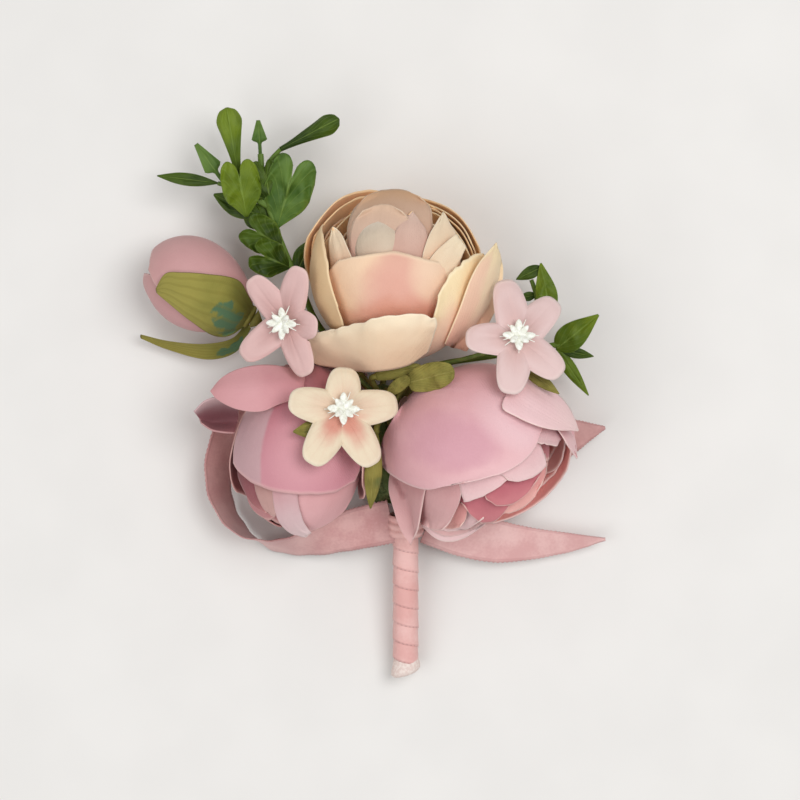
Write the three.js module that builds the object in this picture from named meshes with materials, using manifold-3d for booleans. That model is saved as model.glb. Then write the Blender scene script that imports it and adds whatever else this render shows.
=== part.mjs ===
// A silk-flower brooch lying on its back: three cupped roses, a bud, three small blossoms and moulded
// greenery wired to a ribbon-wound stem with a satin bow, and a bar pin with a turning catch behind them.
// Millimetres and degrees. X is to the right, Y towards the top of the spray, Z away from the wearer.
import * as THREE from "three";
import { mergeVertices } from "three/addons/utils/BufferGeometryUtils.js";
import Module from "manifold-3d";

const wasm = await Module();
wasm.setup();

// Roses and bud
const PEACH_RADIUS = 21.8;
const PEACH_HALF_LENGTH = 21;
const RIGHT_RADIUS = 20.8;
const RIGHT_HALF_LENGTH = 21.5;
const LEFT_RADIUS = 17;
const LEFT_HALF_LENGTH = 22;
const BUD_RADIUS = 11.3;
const BUD_HALF_LENGTH = 13.5;
const STEM_CHANNEL = 3; // between the two lower roses where they are widest
const FOOT_OUT = 4.55; // the right rose's foot, from the middle of the binding
const RIGHT_NEST = 0.4; // between the peach rose and the right rose
const LEFT_NEST = 0.6; // between the peach rose and the foot of the left rose
const BUD_OUT = 23.9; // the bud's middle, to the left of the left rose's
const BUD_UP = 38; // and above it
const BUD_LIFT = 1; // the bud hangs this far off the table
const PETAL_THICKNESS = 0.35;
const PETAL_PITCH = 0.9; // from one nested petal to the next
const PETAL_FOOT = 0.35; // a petal's width at its foot, as a share of its full width
const PETAL_WIDEST = 0.55; // where along a petal it reaches its full width
const FLARE_START = 0.3; // where along a petal it starts to open outwards
const PETAL_STEP = 22; // one flat facet of a petal, in degrees
const NECK_RADIUS = 2;
const NECK_CLEARANCE = 0.6;
const CALYX_SPREAD = 18; // how far the cup climbs up the flower's foot, in degrees
const CALYX_WALL = 0.8;
const CALYX_CLEARANCE = 0.4;
const CALYX_BOSS_RADIUS = 2.4;
const CALYX_BOSS_LENGTH = 2;
const WIRE_RADIUS = 0.7;
const WIRE_SET = 1; // how deep a wire is set into what it carries
const CORE_STEPS = 8;
const TURNED_SIDES = 12;

// Small blossoms, leaves and sprigs
const BLOSSOM_THICKNESS = 0.4;
const BLOSSOM_NOTCH = 2.6; // from the middle to the cuts between two petals
const BLOSSOM_HOLE_RADIUS = 0.9;
const BLOSSOM_ROUNDING = 0.62; // broader petal ends where it is smaller
const BLOSSOM_STEPS_AROUND = 40;
const BLOSSOM_STEPS_OUT = 2;
const STAMEN_LOBES = 4;
const STAMEN_LENGTH = 3.4;
const STAMEN_LOBE_WIDTH = 1.5;
const STAMEN_LOBE_HEIGHT = 1;
const STAMEN_LOBE_TILT = 18;
const STAMEN_DISC_RADIUS = 1.6;
const STAMEN_DISC_HEIGHT = 0.7;
const STAMEN_WIRE_RADIUS = 0.5;
const STAMEN_WIRE_DROP = 2; // the wire runs straight this far under the blossom
const STAMEN_CLEARANCE = 0.3;
const LEAF_THICKNESS = 0.5;
const LEAF_ENDS = 0.1; // a blade's width at its two ends, as a share of its full width
const LEAF_WIRE_SHARE = 0.08; // how far up its blade a leaf's wire runs
const SPRIG_STEM_RADIUS = 0.8;

// Stem, binding and ribbon
const BUNDLE_RADIUS = 2.2;
const BUNDLE_HEIGHT = 11.2; // above the table, over the pin
const BINDING_RADIUS = 4.2;
const BINDING_HALF_DEPTH = 3.6;
const BINDING_UP = 10.5; // above the row of the lower roses
const BINDING_HEIGHT = 12.2; // above the table
const WIRE_CLEARANCE = 0.3;
const STEM_LENGTH = 38; // the straight wrapped part
const STEM_OUT = 5.6; // the top of the wrapped part, to the right of the middle of the channel
const STEM_DOWN = 14; // and below the row of the lower roses
const STEM_TOP_HEIGHT = 10.6;
const STEM_SLOPE = 9; // how steeply the wrapped part runs down to the table, in degrees
const WRAP_START = 1.5; // from the top of the straight part to the first turn
const WRAP_WIDTH = 3.9;
const WRAP_PITCH = 4.4;
const WRAP_THICKNESS = 0.6;
const WRAP_CLEARANCE = 0.3;
const WRAP_STEPS_PER_TURN = 14;
const RIBBON_WIDTH = 10;
const RIBBON_THICKNESS = 0.4;
const RIBBON_TIP_SHARE = 0.05; // a cut end's width at its point, as a share of the ribbon's
const LONG_TAIL_CUT = 20; // how long the slanting cut is
const SHORT_TAIL_CUT = 9;
const KNOT_LENGTH = 5;
const KNOT_EDGE = 0.3;
const KNOT_CROWN = 0.2;
const KNOT_WALL = 0.6;
const KNOT_CLEARANCE = 0.3;
const KNOT_DOWN = 1.5; // from the top of the wrapped part to the knot

// Pin
const BAR_LENGTH = 24;
const BAR_WIDTH = 5;
const BAR_THICKNESS = 0.8;
const PAD_BORDER = 1; // how far the pad stands out all round the bar
const PAD_THICKNESS = 1;
const PAD_CLEARANCE = 0.15;
const PAD_SEAT = 0.6; // between the pad and the bundle above it
const PIN_OFFSET = 0.85; // the pin's line, to the right of the middle of the channel
const PIN_MIDDLE = 0; // the pin's middle, up from the row of the lower roses
const CLOTH_GAP = 4.2; // between the bar and the needle
const NEEDLE_DIAMETER = 0.7;
const NEEDLE_TIP_LENGTH = 2.5;
const NEEDLE_POINT_RADIUS = 0.04;
const EYE_WIDTH = 1;
const EYE_WALL = 0.7;
const EYE_CLEARANCE = 0.2; // between the eye and each ear
const EAR_THICKNESS = 0.6;
const EAR_RADIUS = 1.5;
const RIVET_RADIUS = 0.5;
const RIVET_CLEARANCE = 0.12;
const RIVET_HEAD_RADIUS = 0.95;
const RIVET_HEAD_THICKNESS = 0.4;
const CATCH_BORE_RADIUS = 0.7;
const CATCH_WALL = 0.35;
const CATCH_LENGTH = 4;
const CATCH_MOUTH_HALF_ANGLE = 48;
const POST_LENGTH = 1.2;
const SLEEVE_CLEARANCE = 0.12;
const SLEEVE_WALL = 0.4;
const SLEEVE_LENGTH = 2.2;
const SLEEVE_MOUTH_HALF_ANGLE = 28;
const TAB_LENGTH = 1.5;
const TAB_REACH = 1.2;
const TAB_THICKNESS = 0.6;

const rad = THREE.MathUtils.degToRad;
const vec = (x, y, z) => new THREE.Vector3(x, y, z);
const material = (color, roughness, metalness = 0) => {
  return new THREE.MeshStandardMaterial({ color, roughness, metalness });
};
const piece = (name, geometry, finish) => {
  const mesh = new THREE.Mesh(geometry, finish);
  mesh.name = name;
  return mesh;
};

const olive = material(0x827d2d, 0.8);
const leafGreen = material(0x5a8223, 0.5);
const satin = material(0xc39691, 0.4);
const stamenWhite = material(0xebeee1, 0.5);
const steel = material(0xb9bcc0, 0.3, 1);

// A closed geometry as a solid for joining and cutting, and back again
function solidFrom(geometry) {
  const bare = geometry.index ? geometry.toNonIndexed() : geometry.clone();
  bare.deleteAttribute("normal");
  bare.deleteAttribute("uv");
  const merged = mergeVertices(bare, 1e-4);
  const vertProperties = merged.attributes.position.array;
  const triVerts = new Uint32Array(merged.index.array);
  return new wasm.Manifold(new wasm.Mesh({ numProp: 3, vertProperties, triVerts }));
}

function geometryFrom(solid) {
  const mesh = solid.getMesh();
  const geometry = new THREE.BufferGeometry();
  geometry.setAttribute("position", new THREE.BufferAttribute(mesh.vertProperties, 3));
  geometry.setIndex(new THREE.BufferAttribute(mesh.triVerts, 1));
  return geometry;
}

function join(geometries) {
  const solids = geometries.map(solidFrom);
  return solids.slice(1).reduce((whole, solid) => whole.add(solid), solids[0]);
}

// A point of a surface and its push to both sides, for a sheet of the given thickness
function thickened(surface, u, v, thickness) {
  const nudge = 1e-3;
  const middle = surface(u, v);
  const du = surface(u + nudge, v).sub(surface(u - nudge, v));
  const dv = surface(u, v + nudge).sub(surface(u, v - nudge));
  const push = du.cross(dv).setLength(thickness / 2);
  return [middle.clone().add(push), middle.sub(push)];
}

// A thin closed sheet: a surface over u from -1 to 1 and v from 0 to 1, thickened evenly to both sides
function sheetGeometry(surface, across, along, thickness) {
  const row = across + 1;
  const front = [];
  const back = [];
  for (let j = 0; j <= along; j++) {
    for (let i = 0; i <= across; i++) {
      const [over, under] = thickened(surface, -1 + (2 * i) / across, j / along, thickness);
      front.push(over);
      back.push(under);
    }
  }
  const count = front.length;
  const faces = [];
  for (let j = 0; j < along; j++) {
    for (let i = 0; i < across; i++) {
      const a = j * row + i;
      const [b, c, d] = [a + 1, a + row + 1, a + row];
      faces.push(a, b, c, a, c, d);
      faces.push(count + a, count + c, count + b, count + a, count + d, count + c);
    }
  }
  const rim = [];
  for (let i = 0; i < across; i++) rim.push(i);
  for (let j = 0; j < along; j++) rim.push(j * row + across);
  for (let i = across; i > 0; i--) rim.push(along * row + i);
  for (let j = along; j > 0; j--) rim.push(j * row);
  rim.forEach((p, k) => {
    const q = rim[(k + 1) % rim.length];
    faces.push(q, p, count + p, q, count + p, count + q);
  });
  return new THREE.BufferGeometry().setFromPoints([...front, ...back]).setIndex(faces);
}

// A closed sheet that runs right round a hole: u goes once round, v from the hole to the outer edge
function ringSheetGeometry(surface, around, out, thickness) {
  const back = [];
  const front = [];
  for (let j = 0; j <= out; j++) {
    for (let i = 0; i < around; i++) {
      const [over, under] = thickened(surface, -1 + (2 * i) / around, j / out, thickness);
      back.push(over);
      front.push(under);
    }
  }
  const count = front.length;
  const edge = out * around;
  const faces = [];
  for (let i = 0; i < around; i++) {
    const next = (i + 1) % around;
    for (let j = 0; j < out; j++) {
      const [a, b] = [j * around + i, j * around + next];
      const [c, d] = [b + around, a + around];
      faces.push(a, c, b, a, d, c);
      faces.push(count + a, count + b, count + c, count + a, count + c, count + d);
    }
    faces.push(i, next, count + i, next, count + next, count + i);
    faces.push(edge + i, count + edge + i, edge + next, edge + next, count + edge + i, count + edge + next);
  }
  return new THREE.BufferGeometry().setFromPoints([...front, ...back]).setIndex(faces);
}

// A round wire along points, with flat ends
function wireGeometry(points, radius, steps, sides = 6) {
  const section = new THREE.Shape().absarc(0, 0, radius, 0, 2 * Math.PI);
  const extrudePath = new THREE.CatmullRomCurve3(points);
  const options = { steps, curveSegments: sides / 2, bevelEnabled: false, extrudePath };
  return new THREE.ExtrudeGeometry(section, options);
}

// A profile of radii and heights turned round the Z axis
function turnedGeometry(profile, sides) {
  const points = profile.map(([radius, height]) => new THREE.Vector2(radius, height));
  return new THREE.LatheGeometry(points, sides).rotateX(Math.PI / 2);
}

// A point of the shell that lies outside a flower's own by offset, at an angle from the flower's foot
function shellPoint(flower, offset, polar, azimuth) {
  const taper = 1 - flower.taper * ((1 + Math.cos(polar)) / 2) ** 2;
  const around = (flower.radius + offset) * Math.sin(polar) * taper;
  const height = -(flower.halfLength + offset) * Math.cos(polar);
  return vec(around * Math.cos(azimuth), around * Math.sin(azimuth), height);
}

// The angle from the foot at which a shell has the given radius
function footAngle(flower, offset, radius) {
  return Math.asin(radius / ((1 - flower.taper) * (flower.radius + offset)));
}

// A flower's own axes: its front towards the viewer, its side, and its opening
function flowerBasis(flower) {
  const [heading, rise] = [rad(flower.heading), rad(flower.rise)];
  const level = vec(Math.cos(heading), Math.sin(heading), 0);
  const up = vec(0, 0, 1);
  const axis = level.clone().multiplyScalar(Math.cos(rise)).addScaledVector(up, Math.sin(rise));
  const front = level.multiplyScalar(-Math.sin(rise)).addScaledVector(up, Math.cos(rise));
  return new THREE.Matrix4().makeBasis(front, axis.clone().cross(front), axis);
}

// The height of a flower's middle that brings its lowest petal to the table
function restingHeight(flower) {
  const rise = rad(flower.rise);
  let lowest = 0;
  for (let polar = 0; polar < Math.PI; polar += 0.02) {
    const under = shellPoint(flower, PETAL_THICKNESS / 2, polar, Math.PI);
    lowest = Math.min(lowest, under.x * Math.cos(rise) + under.z * Math.sin(rise));
  }
  return -lowest;
}

// One petal: turn is its side of the flower, lean its slant, half its half width, reach how far up it goes,
// drop and point the roundness of its tip, flare how far it opens outwards, and side how far one edge does
function petalSurface(flower, petal) {
  const { lean = 0, flare = 0, side = 0 } = petal;
  const offset = -petal.layer * PETAL_PITCH;
  const foot = footAngle(flower, offset, NECK_RADIUS + NECK_CLEARANCE);
  return (u, v) => {
    const fall = 1 - petal.drop * Math.abs(u) ** petal.point * v;
    const polar = foot + (rad(petal.reach) - foot) * v * fall;
    const widening = Math.sin((Math.min(1, v / PETAL_WIDEST) * Math.PI) / 2);
    const width = PETAL_FOOT + (1 - PETAL_FOOT) * widening;
    const azimuth = rad(petal.turn + lean * v + petal.half * u * width);
    const opened = flare + (side * (1 + u)) / 2;
    const opening = opened * THREE.MathUtils.smoothstep(v, FLARE_START, 1);
    const outwards = vec(Math.cos(azimuth), Math.sin(azimuth), 0);
    return shellPoint(flower, offset, polar, azimuth).addScaledVector(outwards, opening);
  };
}

function petalGeometry(flower, petal) {
  const across = 2 * Math.ceil(petal.half / PETAL_STEP);
  const along = Math.ceil(petal.reach / PETAL_STEP);
  return sheetGeometry(petalSurface(flower, petal), across, along, PETAL_THICKNESS);
}

// The moulded heart on its neck, which the petals are threaded on
function coreGeometry(flower) {
  const offset = -flower.coreLayer * PETAL_PITCH;
  const foot = footAngle(flower, offset, NECK_RADIUS);
  const profile = [
    [0, -flower.halfLength],
    [NECK_RADIUS, -flower.halfLength],
  ];
  for (let i = 0; i < CORE_STEPS; i++) {
    const point = shellPoint(flower, offset, foot + ((Math.PI - foot) * i) / CORE_STEPS, 0);
    profile.push([point.x, point.z]);
  }
  profile.push([0, flower.halfLength + offset]);
  return turnedGeometry(profile, TURNED_SIDES);
}

// The cup under a flower's foot, with a boss that takes the wire
function calyxGeometry(flower) {
  const foot = -(flower.halfLength + CALYX_CLEARANCE);
  const bossEnd = foot - CALYX_WALL - CALYX_BOSS_LENGTH;
  const spread = rad(CALYX_SPREAD);
  const wall = (offset, share) => {
    const point = shellPoint(flower, offset, spread * share, 0);
    return [point.x, point.z];
  };
  const outer = [0.5, 0.8, 1].map((share) => wall(CALYX_CLEARANCE + CALYX_WALL, share));
  const inner = [1, 0.8, 0.5].map((share) => wall(CALYX_CLEARANCE, share));
  const boss = [
    [0, bossEnd],
    [WIRE_RADIUS, bossEnd],
    [CALYX_BOSS_RADIUS, bossEnd + CALYX_BOSS_LENGTH],
  ];
  return turnedGeometry([...boss, ...outer, ...inner, [0, foot]], TURNED_SIDES);
}

// Left rose: dusky pink, opening towards the bottom of the spray
const leftRose = { name: "left_rose", radius: LEFT_RADIUS, halfLength: LEFT_HALF_LENGTH, taper: 0.2 };
Object.assign(leftRose, { heading: 261, rise: 8, coreLayer: 5, finish: material(0xbe7d82, 0.75) });
leftRose.centre = vec(-(LEFT_RADIUS + STEM_CHANNEL / 2), -0.8, restingHeight(leftRose));
leftRose.petals = [
  { name: "outer_left", layer: 0, turn: 22, lean: 30, half: 40, reach: 71, drop: 0.14, point: 2.4, side: 12 },
  { name: "under", layer: 0, turn: 180, half: 44, reach: 112, drop: 0.15, point: 2.4 },
  { name: "outer_right", layer: 0, turn: -95, half: 36, reach: 112, drop: 0.15, point: 2.4 },
  { name: "front", layer: 1, turn: 4, half: 66, reach: 121, drop: 0.15, point: 2.4 },
  { name: "far_left", layer: 1, turn: 120, half: 42, reach: 122, drop: 0.15, point: 2.4 },
  { name: "strip", layer: 2, turn: 22, half: 28, reach: 164, drop: 0.25, point: 1.6 },
  { name: "low_right", layer: 3.3, turn: -36, half: 48, reach: 162, drop: 0.25, point: 2 },
];

// Right rose: mauve pink, opening towards the lower right
const rightRose = { name: "right_rose", radius: RIGHT_RADIUS, halfLength: RIGHT_HALF_LENGTH, taper: 0.12 };
Object.assign(rightRose, { heading: 330, rise: 18, coreLayer: 7, finish: material(0xd7aab4, 0.75) });
const footReach = RIGHT_HALF_LENGTH * Math.cos(rad(rightRose.heading)) * Math.cos(rad(rightRose.rise));
const rightOut = Math.max(RIGHT_RADIUS + STEM_CHANNEL / 2, footReach + FOOT_OUT);
rightRose.centre = vec(rightOut, 0, restingHeight(rightRose));
rightRose.petals = [
  { name: "upper", layer: 0, turn: -58, lean: -8, half: 36, reach: 138, drop: 0.25, point: 2, flare: 2.5 },
  { name: "low_tip", layer: 0, turn: 48, lean: 20, half: 24, reach: 91, drop: 0.5, point: 1.2, side: 7 },
  { name: "under", layer: 0, turn: 180, half: 44, reach: 124, drop: 0.15, point: 2.4 },
  { name: "front", layer: 1, turn: 0, lean: -26, half: 64, reach: 136, drop: 0.4, point: 2.2 },
  { name: "under_left", layer: 1.1, turn: 136, half: 38, reach: 120, drop: 0.15, point: 2.4 },
  { name: "low", layer: 2, turn: 60, half: 36, reach: 108, drop: 0.3, point: 1.8 },
  { name: "under_right", layer: 2, turn: -138, half: 42, reach: 128, drop: 0.15, point: 2.4 },
  { name: "inner_pale", layer: 3.4, turn: 34, half: 42, reach: 136, drop: 0.2, point: 2 },
  { name: "inner_flap", layer: 4.8, turn: -14, half: 40, reach: 146, drop: 0.3, point: 1.6 },
];

// Peach rose: it nests above the two lower ones, at its own distance from each of them
const peachRose = { name: "peach_rose", radius: PEACH_RADIUS, halfLength: PEACH_HALF_LENGTH, taper: 0.25 };
Object.assign(peachRose, { heading: 86, rise: 42, coreLayer: 8.6, finish: material(0xe8cda5, 0.75) });
const toLeft = PEACH_RADIUS + LEFT_HALF_LENGTH + LEFT_NEST;
const toRight = PEACH_RADIUS + RIGHT_RADIUS + RIGHT_NEST;
const lowerRow = rightRose.centre.x - leftRose.centre.x;
const alongRow = (toLeft ** 2 - toRight ** 2 + lowerRow ** 2) / (2 * lowerRow);
const aboveRow = Math.sqrt(toLeft ** 2 - alongRow ** 2);
peachRose.centre = vec(leftRose.centre.x + alongRow, aboveRow, restingHeight(peachRose));
peachRose.petals = [
  { name: "front_roll", layer: 0, turn: -4, half: 46, reach: 101, drop: 0.12, point: 2.4, flare: 1.4 },
  { name: "right_tip", layer: 0, turn: 65, lean: 10, half: 26, reach: 117, drop: 0.45, point: 1.2, side: 7 },
  { name: "back_left", layer: 0, turn: -138, half: 40, reach: 127, drop: 0.15, point: 2.5, flare: 0.5 },
  { name: "right_strip", layer: 1, turn: 44, lean: 26, half: 38, reach: 124, drop: 0.35, point: 1.6, flare: 1 },
  { name: "outer_left", layer: 1, turn: -82, half: 48, reach: 126, drop: 0.2, point: 2.2 },
  { name: "back_right", layer: 2, turn: 145, half: 42, reach: 128, drop: 0.15, point: 2.5, flare: 0.5 },
  { name: "back", layer: 3, turn: 180, half: 45, reach: 135, drop: 0.15, point: 2.5 },
  { name: "front", layer: 3, turn: 0, half: 62, reach: 147, drop: 0.15, point: 2.5 },
  { name: "inner_right", layer: 4, turn: 85, lean: 20, half: 36, reach: 148, drop: 0.35, point: 1.3 },
  { name: "inner_left", layer: 4.2, turn: -95, half: 40, reach: 138, drop: 0.2, point: 2.2 },
  { name: "inner_back", layer: 5.2, turn: 170, half: 55, reach: 145, drop: 0.2, point: 2.2 },
  { name: "heart_right", layer: 6.4, turn: 60, lean: 30, half: 55, reach: 160, drop: 0.3, point: 1.5 },
  { name: "heart_left", layer: 7.6, turn: -75, half: 60, reach: 160, drop: 0.2, point: 2 },
];

// Bud: two wrapped petals on a heart that is moulded in one piece with its sepals
const bud = { name: "bud", radius: BUD_RADIUS, halfLength: BUD_HALF_LENGTH, taper: 0.25 };
Object.assign(bud, { heading: 150, rise: 5, coreLayer: 2, finish: material(0xbe8c8c, 0.75) });
bud.centre = vec(leftRose.centre.x - BUD_OUT, leftRose.centre.y + BUD_UP, restingHeight(bud) + BUD_LIFT);
bud.petals = [
  { name: "upper", layer: 0, turn: 75, half: 85, reach: 150, drop: 0.15, point: 2.2 },
  { name: "lower", layer: 1, turn: -70, half: 75, reach: 156, drop: 0.3, point: 1.6 },
];
bud.sepals = [
  { layer: -1, turn: -4, half: 48, reach: 122, drop: 0.5, point: 1.4 },
  { layer: -1, turn: -86, lean: -12, half: 30, reach: 124, drop: 0.3, point: 1.4, flare: 5 },
];

// Binding: the taped lump under the roses where every wire ends, and the bundle that runs down from it
const spray = new THREE.Group();
const bindingCentre = vec(0, BINDING_UP, BINDING_HEIGHT);
const stemDirection = vec(0, -Math.cos(rad(STEM_SLOPE)), -Math.sin(rad(STEM_SLOPE)));
const stemTop = vec(STEM_OUT, -STEM_DOWN, STEM_TOP_HEIGHT);
const bundleEnd = stemTop.clone().addScaledVector(stemDirection, STEM_LENGTH - WRAP_PITCH / 2);

function bindingGeometry(clearance) {
  const [wide, deep] = [BINDING_RADIUS + clearance, BINDING_HALF_DEPTH + clearance];
  const lump = new THREE.SphereGeometry(1, 12, 8).scale(wide, wide, deep);
  return lump.translate(...bindingCentre.toArray());
}

function bundleGeometry(clearance) {
  const upper = [bindingCentre, vec(0.4, 0, BUNDLE_HEIGHT), vec(2.6, -8, BUNDLE_HEIGHT)];
  const lower = [-0.06, 0.03, 0.35, 0.68, 1].map((share) => stemTop.clone().lerp(bundleEnd, share));
  return wireGeometry([...upper, ...lower], BUNDLE_RADIUS + clearance, 18, 8);
}

const taped = join([bindingGeometry(0), bundleGeometry(0)]);
spray.add(piece("stem_binding", geometryFrom(taped), material(0x6f7f4a, 0.8)));

// Whatever is wired in stops short of the binding, and only its own side of the cut is kept
const keepOut = join([bindingGeometry(WIRE_CLEARANCE), bundleGeometry(WIRE_CLEARANCE)]);
function upToBinding(geometries) {
  const bodies = join(geometries).subtract(keepOut).decompose();
  return geometryFrom(bodies.reduce((best, body) => (body.volume() > best.volume() ? body : best)));
}

function addFlower(flower, route) {
  const basis = flowerBasis(flower);
  const placed = basis.clone().setPosition(flower.centre);
  const group = new THREE.Group();
  group.position.copy(flower.centre);
  group.quaternion.setFromRotationMatrix(basis);
  for (const petal of flower.petals) {
    group.add(piece(`${flower.name}_${petal.name}`, petalGeometry(flower, petal), flower.finish));
  }
  spray.add(group);
  const bossEnd = -(flower.halfLength + CALYX_CLEARANCE + CALYX_WALL + CALYX_BOSS_LENGTH);
  const inside = (flower.sepals ? -flower.halfLength : bossEnd) + WIRE_SET;
  const leaving = [inside, bossEnd - WIRE_SET].map((height) => vec(0, 0, height).applyMatrix4(placed));
  const wire = wireGeometry([...leaving, ...route, bindingCentre], WIRE_RADIUS, 9);
  const green = [calyxGeometry(flower)];
  if (flower.sepals) {
    green.push(coreGeometry(flower), ...flower.sepals.map((sepal) => petalGeometry(flower, sepal)));
  } else {
    group.add(piece(`${flower.name}_core`, coreGeometry(flower), flower.finish));
  }
  const moulded = green.map((geometry) => geometry.applyMatrix4(placed));
  spray.add(piece(`${flower.name}_calyx`, upToBinding([...moulded, wire]), olive));
}

addFlower(leftRose, [vec(-9, 21.5, 14), vec(-4, 16, 13)]);
addFlower(rightRose, []);
addFlower(peachRose, [vec(0.6, 16.5, 5), vec(0.2, 14, 8.5)]);
addFlower(bud, [vec(-18, 26, 8.5), vec(-9, 19.5, 9)]);

// Blossoms: one die-cut piece of five petals, held by a white stamen whose wire runs to the binding
function blossomSurface(blossom) {
  const { angles, lengths, cup } = blossom;
  const count = angles.length;
  const gapAfter = (k) => (((angles[(k + 1) % count] - angles[k]) % 360) + 360) % 360;
  return (u, v) => {
    const degrees = angles[0] + 180 * (u + 1);
    let k = 0;
    let beyond = (((degrees - angles[0]) % 360) + 360) % 360;
    while (beyond >= gapAfter(k)) {
      beyond -= gapAfter(k);
      k = (k + 1) % count;
    }
    const share = beyond / gapAfter(k);
    const length = share < 0.5 ? lengths[k] : lengths[(k + 1) % count];
    const rounding = Math.abs(Math.cos(Math.PI * share)) ** BLOSSOM_ROUNDING;
    const edge = BLOSSOM_NOTCH + (length - BLOSSOM_NOTCH) * rounding;
    const radius = BLOSSOM_HOLE_RADIUS + (edge - BLOSSOM_HOLE_RADIUS) * v;
    const turn = rad(degrees);
    return vec(radius * Math.cos(turn), radius * Math.sin(turn), cup * (radius / length) ** 2);
  };
}

// Four broad lobes on a small disc
function stamenGeometries() {
  const seat = BLOSSOM_THICKNESS / 2 + STAMEN_CLEARANCE;
  const top = seat + STAMEN_DISC_HEIGHT;
  const disc = [
    [0, seat],
    [STAMEN_DISC_RADIUS, seat],
    [STAMEN_DISC_RADIUS, top],
    [0, top],
  ];
  const geometries = [turnedGeometry(disc, 8)];
  for (let i = 0; i < STAMEN_LOBES; i++) {
    const lobe = new THREE.SphereGeometry(0.5, 6, 4);
    lobe.scale(STAMEN_LENGTH, STAMEN_LOBE_WIDTH, STAMEN_LOBE_HEIGHT).translate(STAMEN_LENGTH / 2, 0, 0);
    lobe.rotateY(-rad(STAMEN_LOBE_TILT)).rotateZ((2 * Math.PI * i) / STAMEN_LOBES);
    geometries.push(lobe.translate(0, 0, top));
  }
  return geometries;
}

function addBlossom(blossom) {
  const tilt = new THREE.Euler(rad(blossom.nod), rad(blossom.sway), 0);
  const placed = new THREE.Matrix4().makeRotationFromEuler(tilt).setPosition(blossom.centre);
  const surface = blossomSurface(blossom);
  const sheet = ringSheetGeometry(surface, BLOSSOM_STEPS_AROUND, BLOSSOM_STEPS_OUT, BLOSSOM_THICKNESS);
  const petals = piece(`${blossom.name}_petals`, sheet, blossom.finish);
  petals.position.copy(blossom.centre);
  petals.rotation.copy(tilt);
  spray.add(petals);
  const discMiddle = BLOSSOM_THICKNESS / 2 + STAMEN_CLEARANCE + STAMEN_DISC_HEIGHT / 2;
  const leaving = [discMiddle, -STAMEN_WIRE_DROP].map((height) => vec(0, 0, height).applyMatrix4(placed));
  const wire = wireGeometry([...leaving, ...blossom.route, bindingCentre], STAMEN_WIRE_RADIUS, 9);
  const head = stamenGeometries().map((geometry) => geometry.applyMatrix4(placed));
  spray.add(piece(`${blossom.name}_stamen`, upToBinding([...head, wire]), stamenWhite));
}

// A place by its distance from a flower's middle and its height, and one off the outside of a flower by a gap
const beside = (flower, x, y, height) => vec(flower.centre.x + x, flower.centre.y + y, height);
const clearOf = (flower, direction, gap) => {
  const axis = vec(0, 0, 1).transformDirection(flowerBasis(flower));
  const along = direction.normalize().dot(axis);
  const flatness = Math.hypot(Math.sqrt(1 - along ** 2) / flower.radius, along / flower.halfLength);
  return direction.multiplyScalar(1 / flatness + gap).add(flower.centre);
};
addBlossom({
  name: "cream_blossom",
  centre: beside(leftRose, 9.8, 9.5, 2 * LEFT_RADIUS - 0.5),
  nod: -12,
  sway: 12,
  cup: -1,
  angles: [10, 85, 170, 240, 302],
  lengths: [13, 10, 12, 14, 14],
  finish: material(0xdecda5, 0.75),
  route: [vec(-3.4, 10, 22)],
});
addBlossom({
  name: "right_blossom",
  centre: beside(rightRose, 8.2, RIGHT_RADIUS + 3.9, RIGHT_RADIUS + PEACH_RADIUS - 7.5),
  nod: -20,
  sway: 4,
  cup: -1,
  angles: [48, 101, 180, 261, 320],
  lengths: [13, 14.6, 11.6, 13, 12.5],
  finish: material(0xe1c3be, 0.75),
  route: [
    clearOf(rightRose, vec(-2.3, 20.5, 5.4), 0.6),
    clearOf(rightRose, vec(-12.3, 17.8, 0.4), 0.6),
    vec(3.5, 14.2, 17),
  ],
});
addBlossom({
  name: "left_blossom",
  centre: beside(peachRose, -25, -10, LEFT_RADIUS + 9.8),
  nod: 10,
  sway: -20,
  cup: 1.5,
  angles: [71, 127, 220, 297, 356],
  lengths: [13.6, 12.5, 12.8, 13, 8.5],
  finish: material(0xd7b4b4, 0.75),
  route: [vec(-14, 22, 19.5), vec(-4, 15, 16)],
});

// Leaves: an arched blade from its foot to its tip, fullest nearer its foot where fullness is under one
function leafGeometry(foot, tip, leaf) {
  const along = tip.clone().sub(foot);
  const side = along.clone().cross(vec(0, 0, 1)).normalize();
  const upward = side.clone().cross(along).normalize();
  const surface = (u, v) => {
    const swell = Math.sin(Math.PI * Math.min(1, Math.max(0, v)) ** leaf.fullness);
    const half = (leaf.width / 2) * (LEAF_ENDS + (1 - LEAF_ENDS) * swell);
    const bow = leaf.arch * swell * (1 - u * u);
    const spine = foot.clone().addScaledVector(along, v);
    return spine.addScaledVector(side, u * half).addScaledVector(upward, bow);
  };
  return sheetGeometry(surface, 2, 5, LEAF_THICKNESS);
}

function addLeaf(leaf) {
  const inside = leaf.foot.clone().lerp(leaf.tip, LEAF_WIRE_SHARE);
  const wire = wireGeometry([inside, leaf.foot, bindingCentre.clone().add(leaf.entry)], WIRE_RADIUS, 6);
  const blade = leafGeometry(leaf.foot, leaf.tip, leaf);
  spray.add(piece(leaf.name, upToBinding([wire, blade]), olive));
}

function addSprig(sprig) {
  const placed = ([x, y, z]) => sprig.origin.clone().add(vec(x, y, z));
  const [trunk, ...branches] = sprig.stems.map((points) => points.map(placed));
  const geometries = [wireGeometry([bindingCentre, ...sprig.route, ...trunk], SPRIG_STEM_RADIUS, 24)];
  for (const branch of branches) geometries.push(wireGeometry(branch, SPRIG_STEM_RADIUS, 4));
  for (const leaf of sprig.leaves) geometries.push(leafGeometry(placed(leaf.foot), placed(leaf.tip), leaf));
  spray.add(piece(sprig.name, upToBinding(geometries), leafGreen));
}

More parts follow.
